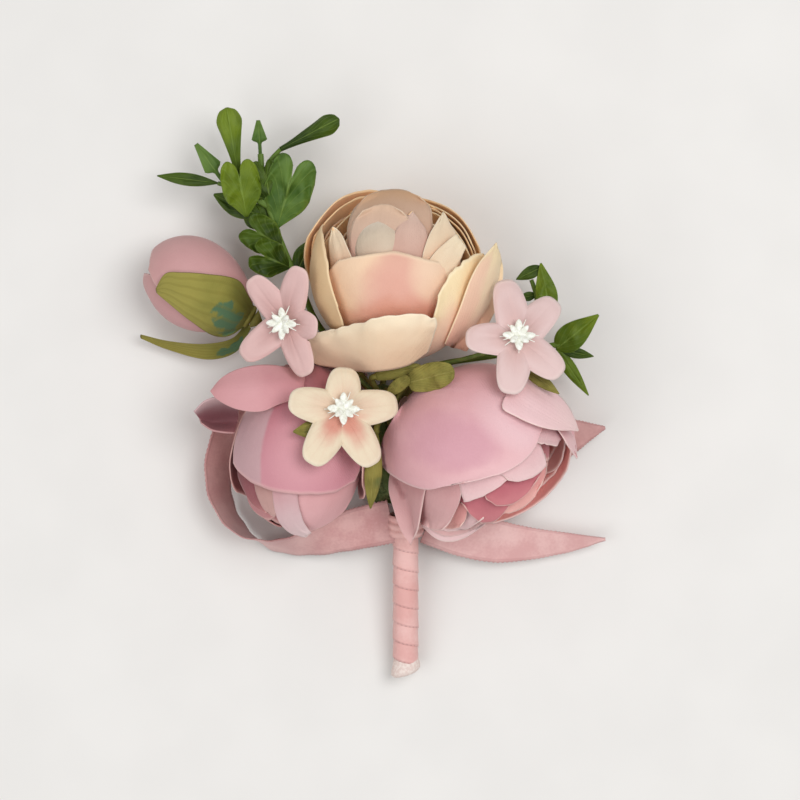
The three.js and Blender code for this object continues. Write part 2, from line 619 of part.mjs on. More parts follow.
addSprig({
  name: "left_sprig",
  origin: beside(peachRose, -PEACH_RADIUS, -2, 12),
  route: [vec(-7, 19, 6), vec(-15, 29, 8.5)],
  stems: [
    [[0, 0, 0], [-4, 9, 1], [-7, 17, 2], [-9, 26, 3], [-9.4, 31, 3]],
    [[-7.6, 19, 2.2], [-12, 23, 2.5], [-14.5, 26.2, 3]],
    [[-8.9, 25.5, 3], [-7, 29.5, 3.5], [-4.8, 32, 4]],
    [[-7.6, 19, 2.2], [-15, 23, 2], [-19.3, 24.4, 2]],
  ],
  leaves: [
    { foot: [-14.5, 26.2, 3], tip: [-17.7, 41.4, 6], width: 6, fullness: 1, arch: 0.8 },
    { foot: [-9.4, 30.8, 3], tip: [-9.9, 38.7, 4], width: 4, fullness: 0.8, arch: 0.5 },
    { foot: [-4.8, 32, 4], tip: [8.8, 38.7, 7], width: 6, fullness: 1, arch: 0.8 },
    { foot: [-17.2, 23.8, 2], tip: [-24.2, 32.2, 4], width: 5, fullness: 0.8, arch: 0.6 },
    { foot: [-19.1, 24.4, 2], tip: [-33.4, 26.2, 1], width: 3, fullness: 1, arch: 0.5 },
    { foot: [-8.2, 20, 2.4], tip: [-18.9, 29, 6], width: 8, fullness: 1.2, arch: 1 },
    { foot: [-7.9, 21, 2.4], tip: [-8.5, 30, 7], width: 6, fullness: 1.2, arch: 1 },
    { foot: [-6.4, 15.5, 2], tip: [1.6, 30.4, 7], width: 10, fullness: 1.3, arch: 1.2 },
    { foot: [-7.1, 17.5, 2], tip: [-21.9, 22.1, 0], width: 5, fullness: 1, arch: 0.6 },
    { foot: [-5.4, 12.8, 1.6], tip: [-14, 15.4, 5], width: 7, fullness: 1.2, arch: 1 },
    { foot: [-3.6, 8, 1], tip: [-13, 6.9, 6], width: 8, fullness: 1.2, arch: 1 },
  ],
});
addSprig({
  name: "right_sprig",
  origin: beside(rightRose, 14, RIGHT_RADIUS + 2.2, 12),
  route: [vec(5, 16.8, 6.8), vec(14, 19.5, 7), vec(24, 21, 9)],
  stems: [
    [[-2, -0.4, -0.5], [0, 0, 0], [5, 1, 2]],
    [[-2, -0.4, -0.5], [0, 9, 2], [1.7, 11.6, 3]],
    [[-0.2, 8, 1.7], [-0.6, 12, 2.5], [-1.8, 15.7, 3]],
  ],
  leaves: [
    { foot: [-1.7, 15.4, 3], tip: [-4.1, 20.4, 5], width: 4, fullness: 0.9, arch: 0.5 },
    { foot: [1.6, 11.4, 3], tip: [2.4, 19.6, 6], width: 4.5, fullness: 1, arch: 0.6 },
    { foot: [4.7, 0.9, 1.9], tip: [12.8, 6.8, 5], width: 7, fullness: 0.9, arch: 0.8 },
    { foot: [4.7, 0.9, 1.9], tip: [12.7, -1.1, 2], width: 3, fullness: 1, arch: 0.4 },
    { foot: [4.6, 0.9, 1.9], tip: [10.2, -10.6, 1], width: 5, fullness: 0.8, arch: 0.6 },
  ],
});
addLeaf({
  name: "leaf_middle",
  foot: clearOf(rightRose, vec(-19.3, 16.6, 3.4), 4.34),
  tip: clearOf(rightRose, vec(-5.9, 17.2, 13.9), 2.3),
  entry: vec(-0.6, 2, 0),
  width: 7,
  fullness: 1.2,
  arch: 0.8,
});
addLeaf({
  name: "leaf_low",
  foot: clearOf(leftRose, vec(17.5, 5.8, 4.8), 1.46),
  tip: clearOf(leftRose, vec(16.1, -12.7, 8.8), 4.38),
  entry: vec(0.8, -2.6, 0),
  width: 4,
  fullness: 1.2,
  arch: 0.4,
});
addLeaf({
  name: "leaf_left",
  foot: clearOf(leftRose, vec(12.9, 6.4, 12.3), 1.51),
  tip: clearOf(leftRose, vec(-1, 4.8, 18.3), 1.9),
  entry: vec(-1.6, -1.6, 0),
  width: 5,
  fullness: 1.2,
  arch: 0.4,
});

// Stem wrap: one ribbon wound round the bundle in open turns
const stemSide = vec(1, 0, 0);
const stemFront = stemDirection.clone().cross(stemSide);
const stemBasis = new THREE.Matrix4().makeBasis(stemSide, stemFront, stemDirection);
const wrapRadius = BUNDLE_RADIUS + WRAP_CLEARANCE + WRAP_THICKNESS / 2;
const wrapTurns = (STEM_LENGTH - WRAP_START - WRAP_WIDTH) / WRAP_PITCH;
const wrapSurface = (u, v) => {
  const turn = 2 * Math.PI * wrapTurns * v;
  const height = WRAP_WIDTH / 2 + WRAP_PITCH * wrapTurns * v + (u * WRAP_WIDTH) / 2;
  return vec(wrapRadius * Math.cos(turn), -wrapRadius * Math.sin(turn), height);
};

function addAtStem(mesh, down) {
  mesh.position.copy(stemTop).addScaledVector(stemDirection, down);
  mesh.quaternion.setFromRotationMatrix(stemBasis);
  spray.add(mesh);
}

function leastGapBetweenTurns() {
  const samples = Math.ceil(wrapTurns * WRAP_STEPS_PER_TURN);
  const perTurn = 1 / wrapTurns;
  let least = Infinity;
  for (let i = 0; i <= samples; i++) {
    const v = (i / samples) * (1 - perTurn);
    least = Math.min(least, wrapSurface(1, v).distanceTo(wrapSurface(-1, v + perTurn)));
  }
  return least;
}

const wrapSteps = Math.ceil(wrapTurns * WRAP_STEPS_PER_TURN);
addAtStem(piece("stem_wrap", sheetGeometry(wrapSurface, 1, wrapSteps, WRAP_THICKNESS), satin), WRAP_START);
console.log(`least gap between turns of the stem wrap: ${leastGapBetweenTurns().toFixed(2)} mm`);

// Knot: the ribbon's band round the wrapped stem
const knotInner = wrapRadius + WRAP_THICKNESS / 2 + KNOT_CLEARANCE;
const knotOuter = knotInner + KNOT_WALL;
const knotBand = [
  [knotInner, 0],
  [knotOuter, KNOT_EDGE],
  [knotOuter + KNOT_CROWN, KNOT_LENGTH / 2],
  [knotOuter, KNOT_LENGTH - KNOT_EDGE],
  [knotInner, KNOT_LENGTH],
  [knotInner, 0],
];
addAtStem(piece("ribbon_knot", turnedGeometry(knotBand, 16), satin), KNOT_DOWN);

// Bow: flat ribbon along points, with the way its upper edge lies at each of them; a cut end runs to a point
function ribbonGeometry(stations, steps, cutLength) {
  const line = new THREE.CatmullRomCurve3(stations.map(({ at }) => at));
  const edgeWay = new THREE.CatmullRomCurve3(stations.map(({ edge }) => edge));
  const length = line.getLength();
  const surface = (u, v) => {
    const t = Math.min(1, Math.max(0, v));
    const tangent = line.getTangent(t);
    const way = edgeWay.getPoint(t);
    const across = way.addScaledVector(tangent, -way.dot(tangent)).normalize();
    const narrowing = cutLength > 0 ? Math.min(1, RIBBON_TIP_SHARE + ((1 - t) * length) / cutLength) : 1;
    const point = line.getPoint(t).addScaledVector(tangent, (v - t) * length);
    return point.addScaledVector(across, (u * narrowing * RIBBON_WIDTH) / 2);
  };
  return sheetGeometry(surface, 2, steps, RIBBON_THICKNESS);
}

const loopStations = [
  { at: vec(0.9, -17.3, 10.6), edge: vec(0.05, 1, 0) },
  { at: vec(-7.4, -19.3, 9), edge: vec(0.1, 0.95, 0.35) },
  { at: vec(-17.2, -22.4, 7.5), edge: vec(0, 0.6, 0.8) },
  { at: vec(-26.1, -22.8, 6.5), edge: vec(0, 0.25, 0.97) },
  { at: vec(-33.6, -18.6, 6), edge: vec(-0.25, -0.1, 0.96) },
  { at: vec(-38, -10, 6), edge: vec(-0.5, 0, 0.86) },
  { at: vec(-37, 1, 5.5), edge: vec(-0.6, 0.1, 0.8) },
  { at: vec(-31, 9.5, 4.8), edge: vec(-0.45, 0.5, 0.74) },
  { at: vec(-22, 14.5, 2.5), edge: vec(-0.15, 0.93, 0.33) },
  { at: vec(-12, 14.6, 2.6), edge: vec(0.1, 0.95, 0.3) },
  { at: vec(-4.6, 12.4, 4.6), edge: vec(0.3, 0.93, 0.15) },
];
const longTailStations = [
  { at: vec(10.8, -17.6, 8.5), edge: vec(0.2, 0.9, 0.3) },
  { at: beside(rightRose, -1.7, -RIGHT_RADIUS - 0.2, 6), edge: vec(0.1, 0.97, 0.2) },
  { at: vec(32.3, -22.5, 4.2), edge: vec(0, 1, 0.1) },
  { at: vec(44, -22.3, 4), edge: vec(0, 1, 0.1) },
  { at: vec(52.3, -21.5, 5), edge: vec(0, 1, 0.1) },
];
const shortTailStations = [
  { at: vec(9.6, -16.5, 5.2), edge: vec(0.1, 1, 0) },
  { at: beside(rightRose, -3.5, -15, 1.4), edge: vec(-0.2, 1, -0.03) },
  { at: beside(rightRose, 5.5, -10, 0.6), edge: vec(-0.5, 0.85, -0.02) },
  { at: beside(rightRose, 12.7, -3.4, 1), edge: vec(-0.6, 0.77, 0) },
  { at: beside(rightRose, 17.7, 1.4, 2.6), edge: vec(-0.45, 0.85, 0.1) },
  { at: beside(rightRose, 23.7, 3.2, 4.2), edge: vec(-0.2, 0.95, 0.2) },
  { at: beside(rightRose, 29.9, 4.1, 5.8), edge: vec(-0.1, 0.97, 0.2) },
];
spray.add(piece("ribbon_loop", ribbonGeometry(loopStations, 30, 0), satin));
spray.add(piece("ribbon_long_tail", ribbonGeometry(longTailStations, 14, LONG_TAIL_CUT), satin));
spray.add(piece("ribbon_short_tail", ribbonGeometry(shortTailStations, 16, SHORT_TAIL_CUT), satin));

// Pin: its own group, with Y along the bar and Z = 0 on the bar's back, which the cloth lies against
const pin = new THREE.Group();
const padTop = BAR_THICKNESS + PAD_CLEARANCE + PAD_THICKNESS;
const bundleUnderside = BUNDLE_HEIGHT - BUNDLE_RADIUS;
pin.position.set(PIN_OFFSET, PIN_MIDDLE, bundleUnderside - PAD_SEAT - padTop);
spray.add(pin);

const needleHeight = -(CLOTH_GAP + NEEDLE_DIAMETER / 2);
const earHalfGap = EYE_WIDTH / 2 + EYE_CLEARANCE;
const hingeAlong = BAR_LENGTH / 2 - EAR_RADIUS;
const catchEnd = -BAR_LENGTH / 2;
const catchTop = catchEnd + CATCH_LENGTH;
const boreRadius = RIVET_RADIUS + RIVET_CLEARANCE;

// A flat shape drawn along Y and Z, made thick along X from a starting place
function alongX(shape, start, thickness) {
  const slab = new THREE.ExtrudeGeometry(shape, { depth: thickness, curveSegments: 6, bevelEnabled: false });
  const turned = new THREE.Matrix4().makeBasis(vec(0, 1, 0), vec(0, 0, 1), vec(1, 0, 0));
  return slab.applyMatrix4(turned).translate(start, 0, 0);
}

// A flat shape drawn across X and Z, made long along Y from a starting place
function alongY(shape, start, length) {
  const bar = new THREE.ExtrudeGeometry(shape, { depth: length, curveSegments: 7, bevelEnabled: false });
  const turned = new THREE.Matrix4().makeBasis(vec(1, 0, 0), vec(0, 0, 1), vec(0, -1, 0));
  return bar.applyMatrix4(turned).translate(0, start + length, 0);
}

function roundedPlate(width, length, corner) {
  const [x, y] = [width / 2, length / 2];
  const plate = new THREE.Shape();
  plate.absarc(x - corner, y - corner, corner, 0, Math.PI / 2);
  plate.absarc(-x + corner, y - corner, corner, Math.PI / 2, Math.PI);
  plate.absarc(-x + corner, -y + corner, corner, Math.PI, 1.5 * Math.PI);
  plate.absarc(x - corner, -y + corner, corner, 1.5 * Math.PI, 2 * Math.PI);
  return plate;
}

function plateGeometry(width, length, corner, thickness) {
  const options = { depth: thickness, curveSegments: 3, bevelEnabled: false };
  return new THREE.ExtrudeGeometry(roundedPlate(width, length, corner), options);
}

// A tube open along a slot that faces away from the bar, in the plane across the needle
function slottedRing(inner, outer, mouthHalfAngle) {
  const start = -Math.PI / 2 + rad(mouthHalfAngle);
  const end = 1.5 * Math.PI - rad(mouthHalfAngle);
  const ring = new THREE.Shape();
  ring.absarc(0, 0, outer, start, end, false);
  ring.absarc(0, 0, inner, end, start, true);
  return ring;
}

function earGeometry(start) {
  const ear = new THREE.Shape();
  ear.moveTo(hingeAlong + EAR_RADIUS, BAR_THICKNESS / 2);
  ear.lineTo(hingeAlong - EAR_RADIUS, BAR_THICKNESS / 2);
  ear.absarc(hingeAlong, needleHeight, EAR_RADIUS, Math.PI, 2 * Math.PI, false);
  ear.closePath();
  ear.holes.push(new THREE.Path().absarc(hingeAlong, needleHeight, boreRadius, 0, 2 * Math.PI, true));
  return alongX(ear, start, EAR_THICKNESS);
}

const felt = material(0x6f7f4a, 0.95);
const padWidth = BAR_WIDTH + 2 * PAD_BORDER;
const padGeometry = plateGeometry(padWidth, BAR_LENGTH + 2 * PAD_BORDER, padWidth / 3, PAD_THICKNESS);
const pad = piece("pin_pad", padGeometry, felt);
pad.position.z = BAR_THICKNESS + PAD_CLEARANCE;
pin.add(pad);

const catchOuter = CATCH_BORE_RADIUS + CATCH_WALL;
const catchTube = alongY(slottedRing(CATCH_BORE_RADIUS, catchOuter, CATCH_MOUTH_HALF_ANGLE), 0, CATCH_LENGTH);
const postHeight = BAR_THICKNESS / 2 - needleHeight - CATCH_BORE_RADIUS - CATCH_WALL / 2;
const post = new THREE.BoxGeometry(2 * CATCH_BORE_RADIUS, POST_LENGTH, postHeight);
post.translate(0, catchEnd + POST_LENGTH / 2, BAR_THICKNESS / 2 - postHeight / 2);
const barPieces = [
  plateGeometry(BAR_WIDTH, BAR_LENGTH, BAR_WIDTH / 3, BAR_THICKNESS),
  earGeometry(earHalfGap),
  earGeometry(-earHalfGap - EAR_THICKNESS),
  catchTube.translate(0, catchEnd, needleHeight),
  post,
];
pin.add(piece("pin_bar", geometryFrom(join(barPieces)), steel));

const earOutside = earHalfGap + EAR_THICKNESS;
const rivetProfile = [
  [0, -earOutside - EYE_CLEARANCE - RIVET_HEAD_THICKNESS],
  [RIVET_HEAD_RADIUS, -earOutside - EYE_CLEARANCE - RIVET_HEAD_THICKNESS],
  [RIVET_HEAD_RADIUS, -earOutside - EYE_CLEARANCE],
  [RIVET_RADIUS, -earOutside - EYE_CLEARANCE],
  [RIVET_RADIUS, earOutside + EYE_CLEARANCE],
  [RIVET_HEAD_RADIUS, earOutside + EYE_CLEARANCE],
  [RIVET_HEAD_RADIUS, earOutside + EYE_CLEARANCE + RIVET_HEAD_THICKNESS],
  [0, earOutside + EYE_CLEARANCE + RIVET_HEAD_THICKNESS],
];
const rivet = piece("pin_rivet", turnedGeometry(rivetProfile, TURNED_SIDES).rotateY(Math.PI / 2), steel);
rivet.position.set(0, hingeAlong, needleHeight);
pin.add(rivet);

// Needle: an eye round the rivet, and a shaft whose point rests in the catch
const eye = new THREE.Shape().absarc(0, 0, boreRadius + EYE_WALL, 0, 2 * Math.PI);
eye.holes.push(new THREE.Path().absarc(0, 0, boreRadius, 0, 2 * Math.PI, true));
const shaftStart = -(boreRadius + EYE_WALL / 2);
const pointStart = catchEnd + POST_LENGTH + NEEDLE_TIP_LENGTH - hingeAlong;
const needleRadius = NEEDLE_DIAMETER / 2;
const shaft = new THREE.CylinderGeometry(needleRadius, needleRadius, shaftStart - pointStart, 8);
shaft.translate(0, (shaftStart + pointStart) / 2, 0);
const tip = new THREE.CylinderGeometry(needleRadius, NEEDLE_POINT_RADIUS, NEEDLE_TIP_LENGTH, 8);
tip.translate(0, pointStart - NEEDLE_TIP_LENGTH / 2, 0);
const needleSolid = join([alongX(eye, -EYE_WIDTH / 2, EYE_WIDTH), shaft, tip]);
const needle = piece("pin_needle", geometryFrom(needleSolid), steel);
needle.position.set(0, hingeAlong, needleHeight);
pin.add(needle);

// Safety sleeve: turns on the catch tube to close its mouth, by a small thumb tab
const sleeveInner = catchOuter + SLEEVE_CLEARANCE;
const sleeveOuter = sleeveInner + SLEEVE_WALL;
const sleeveRing = alongY(slottedRing(sleeveInner, sleeveOuter, SLEEVE_MOUTH_HALF_ANGLE), 0, SLEEVE_LENGTH);
const tab = new THREE.BoxGeometry(TAB_REACH + SLEEVE_WALL / 2, TAB_LENGTH, TAB_THICKNESS);
tab.translate(sleeveOuter + (TAB_REACH - SLEEVE_WALL / 2) / 2, SLEEVE_LENGTH / 2, 0);
const sleeve = piece("pin_sleeve", geometryFrom(join([sleeveRing, tab])), steel);
sleeve.position.set(0, catchTop - SLEEVE_LENGTH - SLEEVE_CLEARANCE, needleHeight);
pin.add(sleeve);

// The frame's origin lies on the table under the middle of the whole
const whole = new THREE.Box3().setFromObject(spray, true);
const middle = whole.getCenter(vec(0, 0, 0));
spray.position.set(-middle.x, -middle.y, -whole.min.z);

const brooch = new THREE.Group();
brooch.add(spray);
export default brooch;
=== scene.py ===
# A silk-flower brooch on its back: roses, a bud, small blossoms and leaves wired to a ribbon-wound stem
# with a satin bow, and a bar pin behind. Places are written in millimetres from the middle of the channel
# between the two lower roses, on the table, and put into the frame in metres.
import math

import bmesh
import bpy
from mathutils import Matrix, Vector, noise


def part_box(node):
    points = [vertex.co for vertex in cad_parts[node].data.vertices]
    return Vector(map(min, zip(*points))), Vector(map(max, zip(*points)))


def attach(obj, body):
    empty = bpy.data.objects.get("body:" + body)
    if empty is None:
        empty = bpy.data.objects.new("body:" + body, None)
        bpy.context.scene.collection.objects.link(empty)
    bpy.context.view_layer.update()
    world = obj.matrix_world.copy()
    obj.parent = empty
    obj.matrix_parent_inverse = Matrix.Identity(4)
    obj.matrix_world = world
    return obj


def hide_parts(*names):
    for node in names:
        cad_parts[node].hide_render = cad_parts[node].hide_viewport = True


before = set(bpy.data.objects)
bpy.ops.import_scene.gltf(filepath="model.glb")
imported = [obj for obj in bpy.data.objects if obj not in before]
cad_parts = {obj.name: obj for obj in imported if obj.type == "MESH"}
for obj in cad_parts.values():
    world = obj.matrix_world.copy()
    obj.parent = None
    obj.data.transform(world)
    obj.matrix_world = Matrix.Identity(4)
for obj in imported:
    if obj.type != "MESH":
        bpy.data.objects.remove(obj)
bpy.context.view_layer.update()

# Binding and bundle
# Every stem wire ends in one lump under the roses and runs on down as a bundle, wound with green crepe
# floral tape, which is stretched, sticks to itself and leaves slanting ridges.
MM = 0.001
PIN_LINE = 0.85
BAR_TOP = 7.25
BUNDLE_RADIUS = 2.2
BINDING_RADIUS = 4.2
BINDING_HALF_DEPTH = 3.6
BINDING_CENTRE = Vector((0, 10.5, 12.2))
STEM_TOP = Vector((5.6, -14, 10.6))
STEM_LENGTH = 38
WRAP_PITCH = 4.4
STEM_SLOPE = math.radians(9)
STEM_DIRECTION = Vector((0, -math.cos(STEM_SLOPE), -math.sin(STEM_SLOPE)))
TAPE_RIDGE = 0.12
WIRE_STEPS = 8
BUNDLE_BENDS = [Vector((0.4, 0, 11.2)), Vector((2.6, -8, 11.2))]
BUNDLE_SHARES = (-0.06, 0.03, 0.35, 0.68, 1)
CUT_SLANT = 0.3
CUT_COLLAR = [(0, 3.4), (1.8, 3.7), (2.9, 3.5), (3.4, 2.9), (3.35, 2), (3, 0.6), (2.7, -1.6), (0, -1.6)]

bar_low, bar_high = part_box("pin_bar")
bar_middle = (bar_low + bar_high) / 2
spray_origin = Vector((bar_middle.x - PIN_LINE * MM, bar_middle.y, bar_high.z - BAR_TOP * MM))


def placed(point):
    """A place in millimetres, put into the frame."""
    return spray_origin + MM * Vector(point)


def measured(point):
    """A place in the frame, back in millimetres."""
    return (point - spray_origin) / MM


def dye(red, green, blue):
    """A colour as a dyer's eye sees it, from 0 to 255, made linear."""
    shares = [value / 255 for value in (red, green, blue)]
    return (*[s / 12.92 if s < 0.04 else ((s + 0.055) / 1.055) ** 2.4 for s in shares], 1)


# Sockets of the Mix node for colours, and the object output of the Texture Coordinate node
MIX_FACTOR, MIX_BASE, MIX_OTHER = 0, 6, 7
MIX_COLOUR = 2
OBJECT_COORDS = 3


def maths(operation, reflected=False):
    """An operator of Value, which adds a Math node; reflected puts the value second."""

    def operator(self, other=0):
        first, second = (other, self) if reflected else (self, other)
        return self.node("ShaderNodeMath", {"operation": operation}, {0: first, 1: second})

    return operator


class Value:
    """A shader socket: operators on it add nodes to its material."""

    def __init__(self, tree, socket=None):
        self.tree = tree
        self.socket = socket

    def node(self, kind, settings=None, inputs=None, output=0):
        made = self.tree.nodes.new(kind)
        for key, setting in (settings or {}).items():
            setattr(made, key, setting)
        for key, value in (inputs or {}).items():
            if isinstance(value, Value):
                self.tree.links.new(value.socket, made.inputs[key])
            else:
                made.inputs[key].default_value = value
        return Value(self.tree, made.outputs[output])

    __add__ = __radd__ = maths("ADD")
    __sub__ = maths("SUBTRACT")
    __rsub__ = maths("SUBTRACT", reflected=True)
    __mul__ = __rmul__ = maths("MULTIPLY")
    __truediv__ = maths("DIVIDE")
    __pow__ = maths("POWER")
    least = maths("MINIMUM")
    size = maths("ABSOLUTE")
    wave = maths("SINE")

    def ease(self, low, high):
        """Rises smoothly from 0 to 1 between two values, or falls where low is above high."""
        ends = {"Value": self, "From Min": min(low, high), "From Max": max(low, high)}
        ends.update({"To Min": float(low > high), "To Max": float(low < high)})
        return self.node("ShaderNodeMapRange", {"interpolation_type": "SMOOTHSTEP"}, ends)

    def blend(self, base, other):
        """The base colour where this value is 0 and the other where it is 1."""
        inputs = {MIX_FACTOR: self, MIX_BASE: base, MIX_OTHER: other}
        return self.node("ShaderNodeMix", {"data_type": "RGBA"}, inputs, MIX_COLOUR)

    def across(self, channel):
        return self.node("ShaderNodeSeparateXYZ", None, {0: self}, channel)

    def noise(self, scale, detail=2.0, distortion=0.0):
        settings = {"Vector": self, "Scale": scale, "Detail": detail, "Distortion": distortion}
        return self.node("ShaderNodeTexNoise", None, settings)

    def stretched(self, scale):
        return self.node("ShaderNodeMapping", None, {"Vector": self, "Scale": scale})

    def bump(self, strength, depth):
        return self.node("ShaderNodeBump", None, {"Height": self, "Strength": strength, "Distance": depth})


def finish(name, paint, **fixed):
    """A material: paint gives what changes with the place and its u and v, and fixed what is the same."""
    material = bpy.data.materials.new(name)
    material.use_nodes = True
    tree = material.node_tree
    shader = tree.nodes["Principled BSDF"]
    for key, value in fixed.items():
        shader.inputs[key.replace("_", " ")].default_value = value
    start = Value(tree)
    spot = start.node("ShaderNodeTexCoord", output=OBJECT_COORDS)
    cut = start.node("ShaderNodeUVMap", {"uv_map": "Cut"})
    for key, value in paint(spot, cut.across(0), cut.across(1)).items():
        tree.links.new(value.socket, shader.inputs[key])
    return material


def smooth_line(points):
    """A curve through points, as a function of a share from 0 to 1."""
    chain = [2 * points[0] - points[1], *points, 2 * points[-1] - points[-2]]

    def at(share):
        walk = share * (len(points) - 1)
        k = min(max(int(walk), 0), len(points) - 2)
        w = walk - k
        a, b, c, d = chain[k : k + 4]
        here = (c - b).length ** 0.5 or 1
        before = (b - a).length ** 0.5 or here
        after = (d - c).length ** 0.5 or here
        leaving = (b - a) / before - (c - a) / (before + here) + (c - b) / here
        arriving = (c - b) / here - (d - b) / (here + after) + (d - c) / after
        ends = b * (2 * w**3 - 3 * w**2 + 1) + c * (3 * w**2 - 2 * w**3)
        return ends + here * (leaving * (w**3 - 2 * w**2 + w) + arriving * (w**3 - w**2))

    return at


def new_form():
    form = bmesh.new()
    form.loops.layers.uv.new("Cut")
    return form


def take_in(form, mesh, material):
    """Adds a mesh to a form, smooth and in one of its materials."""
    before = len(form.faces)
    form.from_mesh(mesh)
    form.faces.ensure_lookup_table()
    for face in form.faces[before:]:
        face.smooth = True
        face.material_index = material
    bpy.data.meshes.remove(mesh)


def pour(form, part, material=0):
    """Empties a part into a form."""
    mesh = bpy.data.meshes.new("part")
    part.to_mesh(mesh)
    part.free()
    take_in(form, mesh, material)


def add_wire(form, points, radius, material=0, ends=(1, 1)):
    """A round wire through places in millimetres, drawn thinner or thicker towards its ends."""
    line = smooth_line([Vector(point) for point in points])
    steps = WIRE_STEPS * len(points)
    curve = bpy.data.curves.new("wire", "CURVE")
    curve.dimensions = "3D"
    curve.bevel_depth = radius * MM
    curve.bevel_resolution = 3
    curve.use_fill_caps = True
    spline = curve.splines.new("POLY")
    spline.points.add(steps)
    for i, point in enumerate(spline.points):
        point.co = (*placed(line(i / steps)), 1)
        point.radius = ends[0] + (ends[1] - ends[0]) * i / steps
    holder = bpy.data.objects.new("wire", curve)
    take_in(form, bpy.data.meshes.new_from_object(holder), material)
    bpy.data.objects.remove(holder)
    bpy.data.curves.remove(curve)


def add_sheet(form, surface, across, along, material=0):
    """A grid laid on a surface over u from -1 to 1 and v from 0 to 1, given in the frame."""
    made = bmesh.ops.create_grid(form, x_segments=across, y_segments=along, size=1, calc_uvs=True)
    for vert in made["verts"]:
        vert.co = surface(vert.co.x, (vert.co.y + 1) / 2)
    faces = {face for vert in made["verts"] for face in vert.link_faces}
    for face in faces:
        face.smooth = True
        face.material_index = material


def settle(name, form, materials, node=None, body="flower_spray", cloth=0, lining=0):
    """Makes a form an object that may stand for a node; cloth is a sheet's thickness in millimetres."""
    mesh = bpy.data.meshes.new(name)
    form.to_mesh(mesh)
    form.free()
    for material in materials:
        mesh.materials.append(material)
    piece = bpy.data.objects.new(name, mesh)
    bpy.context.scene.collection.objects.link(piece)
    if cloth:
        shell = piece.modifiers.new("cloth", "SOLIDIFY")
        shell.thickness = cloth * MM
        shell.offset = 0
        shell.material_offset = lining
    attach(piece, body)
    if node:
        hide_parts(node)
    return piece


def lathe_line(pairs):
    """Radii and heights, as the places of a line to be turned."""
    return [Vector((radius, 0, height)) for radius, height in pairs]


def turn_profile(form, profile, place, material=0, sides=40):
    """Turns a line of radii and heights once round the Z axis of a place."""
    turned = bmesh.new()
    verts = [turned.verts.new(point) for point in profile]
    edges = [turned.edges.new(pair) for pair in zip(verts, verts[1:])]
    bmesh.ops.spin(turned, geom=verts + edges, axis=(0, 0, 1), cent=(0, 0, 0), angle=2 * math.pi,
                   steps=sides, use_merge=True)
    bmesh.ops.remove_doubles(turned, verts=turned.verts, dist=1e-4)
    bmesh.ops.recalc_face_normals(turned, faces=turned.faces)
    bmesh.ops.transform(turned, matrix=place, verts=turned.verts)
    pour(form, turned, material)


def tape_paint(spot, u, v):
    ridges = (spot.across(1) * 2600 + spot.across(0) * 1500 + spot.noise(300) * 6).wave()
    crepe = spot.noise(1800, 4)
    shade = spot.noise(250, 3).ease(0.35, 0.7)
    colour = shade.blend(dye(74, 92, 40), dye(104, 120, 62))
    return {"Base Color": colour, "Normal": (ridges * 0.4 + crepe).bump(0.6, 0.0003)}


tape = finish("crepe tape", tape_paint, Roughness=0.8)


def cut_end_paint(spot, u, v):
    colour = spot.noise(1500, 3).ease(0.4, 0.65).blend(dye(222, 202, 194), dye(234, 220, 212))
    return {"Base Color": colour, "Normal": spot.noise(2600, 3).bump(0.3, 0.0001)}


cut_end = finish("cut paper tape", cut_end_paint, Roughness=0.9)

binding = new_form()
lump = bmesh.ops.create_icosphere(binding, subdivisions=5, radius=1)
for vert in lump["verts"]:
    ridge = TAPE_RIDGE * math.sin(14 * vert.co.y + 5 * vert.co.x)
    stretch = Vector((BINDING_RADIUS, BINDING_RADIUS, BINDING_HALF_DEPTH)) + Vector((ridge, ridge, ridge))
    vert.co = placed(BINDING_CENTRE + Vector([a * b for a, b in zip(vert.co, stretch)]))
for face in binding.faces:
    face.smooth = True
stem_side = Vector((1, 0, 0))
stem_front = STEM_DIRECTION.cross(stem_side)
bundle_end = STEM_TOP + STEM_DIRECTION * (STEM_LENGTH - WRAP_PITCH / 2)
bundle_route = [BINDING_CENTRE, *BUNDLE_BENDS]
bundle_route += [STEM_TOP.lerp(bundle_end, share) for share in BUNDLE_SHARES]
add_wire(binding, bundle_route, BUNDLE_RADIUS)
end_place = Matrix((stem_side, stem_front, STEM_DIRECTION)).transposed().to_4x4()
slant = Matrix(((1, 0, 0, 0), (0, 1, 0, 0), (-CUT_SLANT, 0, 1, 0), (0, 0, 0, 1)))
end_place = Matrix.Translation(placed(bundle_end)) @ Matrix.Scale(MM, 4) @ end_place @ slant
turn_profile(binding, lathe_line(CUT_COLLAR), end_place, 1)
settle("taped_binding", binding, [tape, cut_end], "stem_binding")

# Petals of the three roses and the bud
# Stiffened silk cloth, die cut, dyed by hand and pressed into cups, threaded one outside the other on the
# neck of a foam heart. Dye pools at the foot and wears thin at the cut rim. Some foot and lining colours
# are painted shade or painted glow instead, as said where those cloths are made.
PETAL_PITCH = 0.9
PETAL_CLOTH = 0.3
NECK_RADIUS = 2
NECK_HOLE = 2.6
PETAL_FOOT = 0.35
PETAL_WIDEST = 0.55
FLARE_START = 0.3
LIP_START = 0.72
EDGE_LIFT = 0.25
RIM_NICK = 0.012
TIP_PINCH = 0.08
CUP_DRIFT = 0.16
CUT_WAVER = 0.2
DRAPE_WANDER = 0.15
DRAPE_LIP = 0.3
DRAPE_GRID = (22, 26)
CUP_FACE_AROUND = 2.4
CUP_FACE_ALONG = 2.6
SCAN_STEPS = 40
SCAN_TOP = 1.1
SCAN_DEPTH = 1.6
SCAN_HALVINGS = 9
MERGE = 1e-6
NOISE_SEED = 4
noise.seed_set(NOISE_SEED)


def ease(value, low, high):
    t = min(1, max(0, (value - low) / (high - low)))
    return t * t * (3 - 2 * t)


